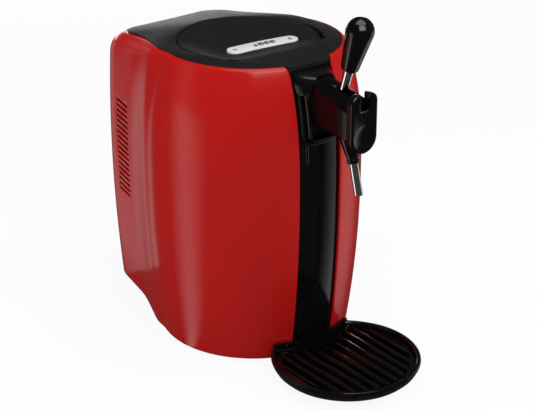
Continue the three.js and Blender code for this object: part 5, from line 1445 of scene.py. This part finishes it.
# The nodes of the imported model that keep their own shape, under the finish that each one gets
FEET = [f"foot_{end}_{side}" for end in ("front", "rear") for side in ("left", "right")]
SCREWS = [f"rear_panel_screw_{i}" for i in range(1, 5)]
BOXES = ["rear_panel", "base_plate", "switch_frame", "power_inlet", "power_supply"]
WORKS = ["well_stand", "fan_frame", "fan_rotor", "lever_cam", "pinch_bar"]
PINS = ["lid_hinge_pin", "lever_pivot_pin", "lever_spring", "lever_stop_pin"]
PLAIN_NODES = {
    "black": ["power_switch"],
    "satin": BOXES + WORKS + FEET,
    "steel": SCREWS + PINS,
    "aluminium": ["cold_block", "heat_sink"],
    "foam": ["insulation_sleeve"],
    "rubber": ["keg_pad"],
    "board": ["control_board"],
    "ceramic": ["cooling_module"],
    "hose": ["beer_hose"],
}


# The studio


LAMP_AIM = 0.2
FAN_STEPS = 12


def add_lamp(name, azimuth, elevation, distance, size, power, mirrored):
    """A softbox at an angle from the front and above, turned to the object's middle."""
    data = bpy.data.lights.new(name, "AREA")
    data.shape = "RECTANGLE"
    data.size, data.size_y = size
    data.energy = power
    lamp = add_object(name, data)
    target = Vector((0, 0, LAMP_AIM))
    lamp.location = target + distance * way_to(azimuth, elevation)
    lamp.rotation_euler = (target - lamp.location).to_track_quat("-Z", "Y").to_euler()
    lamp.visible_camera = False
    lamp.visible_glossy = mirrored


def way_to(azimuth, elevation):
    """The direction of a place round the object, from degrees."""
    a, e = math.radians(azimuth), math.radians(elevation)
    return Vector((math.sin(a) * math.cos(e), -math.cos(a) * math.cos(e), math.sin(e)))


def background(made, kind, stage):
    """White for the camera and dim in mirrors, with the shares of camera and mirror rays."""
    path = made.node("ShaderNodeLightPath")
    camera = made.wire(path, "Is Camera Ray")
    mirrors = made.wire(path, "Is Glossy Ray") + made.wire(path, "Is Transmission Ray")
    shade = made.blend(camera, (stage.mirrored,) * 3, (1, 1, 1))
    return made.node(kind, {}, {"Color": shade, "Strength": 1.0}), camera, mirrors


def studio_paper(stage):
    """Pale matt paper. The camera sees it part lit, to keep the shadow, and part plain white."""
    paper = Finish("studio_paper")
    colour = paper.blend(paper.noise(3.0), (0.60, 0.60, 0.60), (0.63, 0.63, 0.63))
    paper.set(base_color=colour, roughness=0.9)
    paper.fix("Specular IOR Level", 0.0)
    white, camera, mirrors = background(paper, "ShaderNodeEmission", stage)
    paper.show_mixed(camera * stage.paper_white + mirrors, paper.shader, white)
    return paper.material


def card_glow(name, strength):
    """Light that is brightest along the card's middle and fades to both of its edges."""
    material = new_material(name)
    glow = Nodes(material.node_tree)
    uv = glow.node("ShaderNodeUVMap", {"uv_map": "across"})
    across = glow.node("ShaderNodeSeparateXYZ", {}, {0: glow.wire(uv)})
    ramp = glow.node("ShaderNodeValToRGB", {}, {"Fac": glow.wire(across)})
    stops = ramp.color_ramp
    stops.interpolation = "EASE"
    stops.elements[0].color = (0, 0, 0, 1)
    stops.elements[1].color = (0, 0, 0, 1)
    stops.elements.new(0.5).color = (1, 1, 1, 1)
    values = {"Color": glow.wire(ramp), "Strength": strength}
    glow.show(glow.node("ShaderNodeEmission", {}, values))
    return material


def sweep_card(name, azimuth, spread, strength, start, near, rise=0.2):
    """A strip of bright card that lies on the floor and rises behind, seen only in reflections.

    It fans out from a point on the body, brightest along its middle, as a softbox does."""
    seat, up, far = at(*start, 1.0), Vector((0, 0, rise)), 1.5
    columns = []
    for i in range(-FAN_STEPS, FAN_STEPS + 1):
        turn = math.radians(azimuth) + math.radians(spread) * i / FAN_STEPS
        way = Vector((math.sin(turn), -math.cos(turn), 0))
        columns.append([seat + way * near, seat + way * far, seat + way * far + up])
    card = grid(name, columns)
    layer = card.data.uv_layers.new(name="across")
    for loop in card.data.loops:
        column = loop.vertex_index // len(columns[0])
        layer.data[loop.index].uv = (column / (2 * FAN_STEPS), 0)
    card.data.materials.append(card_glow(name + "_glow", strength))
    card.visible_camera = card.visible_diffuse = False
    card.visible_shadow = card.visible_transmission = False


def light_world(stage):
    world = bpy.data.worlds.new("studio_world")
    bpy.context.scene.world = world
    world.use_nodes = True
    sky = Nodes(world.node_tree, "ShaderNodeOutputWorld")
    values = {"Color": (1, 1, 1, 1), "Strength": stage.ambient}
    lit = sky.node("ShaderNodeBackground", {}, values)
    white, camera, mirrors = background(sky, "ShaderNodeBackground", stage)
    sky.show_mixed(camera + mirrors, lit, white)


def set_camera(stage):
    """Looks at a target beside the middle, which puts the object in its place in the frame."""
    data = bpy.data.cameras.new("camera")
    camera = add_object("camera", data)
    back = way_to(stage.azimuth, stage.elevation)
    turn = math.radians(stage.azimuth)
    right = Vector((math.cos(turn), math.sin(turn), 0))
    target = at(0, 0, stage.aim_height) + right * stage.aim_right * MM
    camera.location = target + back * stage.distance
    camera.rotation_euler = back.to_track_quat("Z", "Y").to_euler()
    data.sensor_width = 36
    data.lens = stage.lens
    bpy.context.scene.camera = camera


def build_stage(stage):
    bpy.context.scene.view_settings.view_transform = "Standard"
    drop_selection()
    bpy.ops.mesh.primitive_plane_add(size=6, location=(0, 0, 0))
    floor = bpy.context.object
    floor.name = "studio_floor"
    settle(floor)
    floor.data.materials.append(studio_paper(stage))
    light_world(stage)
    add_lamp("key_left", -118, 8, 1.5, (0.5, 1.9), stage.key, False)
    add_lamp("fill_front", -16, 42, 1.9, (1.4, 1.0), stage.fill, True)
    add_lamp("side_right", 62, 12, 1.6, (0.55, 1.7), stage.side, False)
    add_lamp("top", 10, 80, 1.6, (1.3, 1.3), stage.top, True)
    add_lamp("behind", 155, 2, 1.8, (1.6, 0.35), stage.behind, True)
    sweep_card("band_left", -110, 28, 1.65, (-104, -28), 0.02)
    sweep_card("band_right", 75, 38, 0.8, (10, -130), 0.02)
    sweep_card("band_valley", -181, 15, 0.48, (-128, 14), 0.2, 0.3)
    set_camera(stage)


class DispenserStage(bpy.types.PropertyGroup):
    """Where the camera stands and how bright the studio is"""

    azimuth: bpy.props.FloatProperty(
        name="Azimuth", description="The camera's turn about the object, in degrees", default=-38.0
    )
    elevation: bpy.props.FloatProperty(
        name="Elevation", description="The camera's height, in degrees", default=24.4
    )
    distance: bpy.props.FloatProperty(
        name="Distance", description="From the camera to its target", default=2.15, unit="LENGTH"
    )
    lens: bpy.props.FloatProperty(
        name="Lens", description="Focal length in millimetres", default=112.05
    )
    aim_right: bpy.props.FloatProperty(
        name="Aim right", description="The target's place to the right, in millimetres",
        default=19.42,
    )
    aim_height: bpy.props.FloatProperty(
        name="Aim height", description="The target's height, in millimetres", default=163.17
    )
    ambient: bpy.props.FloatProperty(
        name="Ambient", description="The world's even light", default=0.35
    )
    paper_white: bpy.props.FloatProperty(
        name="Paper white", description="How plain the paper looks to the camera",
        default=0.92, subtype="FACTOR",
    )
    mirrored: bpy.props.FloatProperty(
        name="Mirrored", description="How bright the studio looks in reflections",
        default=0.05, subtype="FACTOR",
    )
    key: bpy.props.FloatProperty(
        name="Key", description="The tall softbox on the left", default=16.0, subtype="POWER"
    )
    fill: bpy.props.FloatProperty(
        name="Fill", description="The soft light in front", default=22.0, subtype="POWER"
    )
    side: bpy.props.FloatProperty(
        name="Side", description="The tall softbox on the right", default=14.0, subtype="POWER"
    )
    top: bpy.props.FloatProperty(
        name="Top", description="The soft light overhead", default=16.0, subtype="POWER"
    )
    behind: bpy.props.FloatProperty(
        name="Behind", description="The soft light behind", default=6.0, subtype="POWER"
    )


class DispenserColours(bpy.types.PropertyGroup):
    """The colours of the main finishes"""

    red: bpy.props.FloatVectorProperty(
        name="Red", description="The shells' colour", default=(0.36, 0.006, 0.005), subtype="COLOR"
    )
    black: bpy.props.FloatVectorProperty(
        name="Black", description="The column's colour",
        default=(0.002, 0.002, 0.0022), subtype="COLOR",
    )
    satin: bpy.props.FloatVectorProperty(
        name="Satin black", description="The cover and lid",
        default=(0.009, 0.009, 0.0095), subtype="COLOR",
    )
    silver: bpy.props.FloatVectorProperty(
        name="Silver", description="The display strip", default=(0.55, 0.55, 0.56), subtype="COLOR"
    )


class KEG_OT_stage(bpy.types.Operator):
    """Lays the floor and sets the lamps, the world and the camera"""

    bl_idname = "keg.stage"
    bl_label = "Studio"
    bl_options = {"REGISTER", "UNDO"}

    def execute(self, context):
        build_stage(context.scene.keg_stage)
        make_finishes(context.scene.keg_colours)
        return {"FINISHED"}


class KEG_OT_body(bpy.types.Operator):
    """Shapes the two glossy side shells with their louvres"""

    bl_idname = "keg.body"
    bl_label = "Side shells"
    bl_options = {"REGISTER", "UNDO"}

    def execute(self, context):
        red = FINISHES["red"]
        place(body_shell(1), "housing", "red_gloss", red, "right_side_shell")
        place(body_shell(-1), "housing", "red_gloss", red, "left_side_shell")
        return {"FINISHED"}


class KEG_OT_column(bpy.types.Operator):
    """Shapes the black column between the shells"""

    bl_idname = "keg.column"
    bl_label = "Column"
    bl_options = {"REGISTER", "UNDO"}

    def execute(self, context):
        place(column_face(), "housing", "black_gloss", FINISHES["black"], "front_column")
        return {"FINISHED"}


class KEG_OT_top(bpy.types.Operator):
    """Shapes the cover round the lid, with its finger grooves"""

    bl_idname = "keg.top"
    bl_label = "Top cover"
    bl_options = {"REGISTER", "UNDO"}

    def execute(self, context):
        place(top_ring(), "housing", "black_satin", FINISHES["satin"], "top_cover")
        return {"FINISHED"}


class KEG_OT_lid(bpy.types.Operator):
    """Shapes the lid with its liner and seal"""

    bl_idname = "keg.lid"
    bl_label = "Lid"
    bl_options = {"REGISTER", "UNDO"}

    def execute(self, context):
        place(lid_shell(), "lid", "black_satin", FINISHES["satin"], "lid")
        place(lid_liner(), "lid", "grey_plastic", FINISHES["grey"], "lid_liner")
        place(lid_seal(), "lid", "rubber", FINISHES["rubber"], "lid_seal")
        return {"FINISHED"}


class KEG_OT_strip(bpy.types.Operator):
    """Lays the display strip with its lamps and symbols"""

    bl_idname = "keg.strip"
    bl_label = "Display strip"
    bl_options = {"REGISTER", "UNDO"}

    def execute(self, context):
        place(strip_plate(), "lid", "brushed_trim", FINISHES["strip"], "display_strip")
        for symbol in (power_icon, thermometer_icon, level_icon):
            place(symbol(), "lid", "black_satin", FINISHES["ink"])
        lamps = (("power_lens", "power_light"), ("cold_lens", "temperature_light"))
        for spot, (name, node) in zip(LAMP_SPOTS, lamps):
            place(strip_lamp(name, spot), "lid", "lamp", FINISHES["lens"], node)
        return {"FINISHED"}


class KEG_OT_tap(bpy.types.Operator):
    """Shapes the hood, its ridges and the tap's neck and front plate"""

    bl_idname = "keg.tap"
    bl_label = "Tap"
    bl_options = {"REGISTER", "UNDO"}

    def execute(self, context):
        outer = ridge("ridge_outer", 1.4, 5.2, 7.2)
        inner = ridge("ridge_inner", 6.9, 4.4, 12.0)
        ribs = [guide_rib(x) for x in (-21.7, -18.6)]
        bezel = join_all("tap_surround", [hood(), outer, inner] + ribs)
        place(bezel, "housing", "black_satin", FINISHES["surround"], "tap_bezel")
        place(tap_neck(), "housing", "black_gloss", FINISHES["neck"], "tap_body")
        place(front_plate(), "housing", "black_gloss", FINISHES["black"], "tap_front_plate")
        return {"FINISHED"}


class KEG_OT_lever(bpy.types.Operator):
    """Turns the lever's stem and its knob"""

    bl_idname = "keg.lever"
    bl_label = "Lever"
    bl_options = {"REGISTER", "UNDO"}

    def execute(self, context):
        place(lever_stem(), "tap_lever", "chrome", FINISHES["chrome"], "lever_stem")
        place(lever_knob(), "tap_lever", "black_gloss", FINISHES["black"], "lever_knob")
        return {"FINISHED"}


class KEG_OT_spout(bpy.types.Operator):
    """Turns the spout's cone and tube"""

    bl_idname = "keg.spout"
    bl_label = "Spout"
    bl_options = {"REGISTER", "UNDO"}

    def execute(self, context):
        place(spout_cone(), "housing", "black_satin", FINISHES["surround"], "nozzle_cone")
        place(spout_tube(), "housing", "chrome", FINISHES["chrome"], "nozzle_tube")
        return {"FINISHED"}


class KEG_OT_tray(bpy.types.Operator):
    """Shapes the drip tray and its ribbed grate"""

    bl_idname = "keg.tray"
    bl_label = "Drip tray"
    bl_options = {"REGISTER", "UNDO"}

    def execute(self, context):
        place(tray_bowl(), "tray", "black_gloss", FINISHES["black"], "drip_tray")
        place(grate(), "grate", "black_gloss", FINISHES["black"], "drip_grate")
        return {"FINISHED"}


class KEG_OT_well(bpy.types.Operator):
    """Spins the aluminium pot that holds the keg"""

    bl_idname = "keg.well"
    bl_label = "Keg well"
    bl_options = {"REGISTER", "UNDO"}

    def execute(self, context):
        place(well_pot(), "housing", "aluminium", FINISHES["aluminium"], "keg_well")
        return {"FINISHED"}


class KEG_OT_works(bpy.types.Operator):
    """Gives the inner works, the base and the rear fittings their finishes"""

    bl_idname = "keg.works"
    bl_label = "Works and fittings"
    bl_options = {"REGISTER", "UNDO"}

    def execute(self, context):
        for name, nodes in PLAIN_NODES.items():
            refinish(FINISHES[name], nodes)
        return {"FINISHED"}


OPERATORS = (
    KEG_OT_stage,
    KEG_OT_body,
    KEG_OT_column,
    KEG_OT_top,
    KEG_OT_lid,
    KEG_OT_strip,
    KEG_OT_tap,
    KEG_OT_lever,
    KEG_OT_spout,
    KEG_OT_tray,
    KEG_OT_well,
    KEG_OT_works,
)


class KEG_PT_panel(bpy.types.Panel):
    """Lists the camera, the lights, the colours and the pieces"""

    bl_idname = "KEG_PT_panel"
    bl_label = "Keg Dispenser"
    bl_space_type = "VIEW_3D"
    bl_region_type = "UI"
    bl_category = "Keg Dispenser"

    def draw(self, context):
        for group in (context.scene.keg_stage, context.scene.keg_colours):
            box = self.layout.box()
            for name in group.__annotations__:
                box.prop(group, name)
        for operator in OPERATORS:
            self.layout.operator(operator.bl_idname)


CLASSES = (DispenserStage, DispenserColours) + OPERATORS + (KEG_PT_panel,)


def register():
    for made in CLASSES:
        bpy.utils.register_class(made)
    bpy.types.Scene.keg_stage = bpy.props.PointerProperty(type=DispenserStage)
    bpy.types.Scene.keg_colours = bpy.props.PointerProperty(type=DispenserColours)


def unregister():
    del bpy.types.Scene.keg_colours
    del bpy.types.Scene.keg_stage
    for made in reversed(CLASSES):
        bpy.utils.unregister_class(made)


def main():
    register()
    bpy.ops.keg.stage()
    bpy.ops.keg.body()
    bpy.ops.keg.column()
    bpy.ops.keg.top()
    bpy.ops.keg.lid()
    bpy.ops.keg.strip()
    bpy.ops.keg.tap()
    bpy.ops.keg.lever()
    bpy.ops.keg.spout()
    bpy.ops.keg.tray()
    bpy.ops.keg.well()
    bpy.ops.keg.works()


if __name__ == "__main__":
    main()
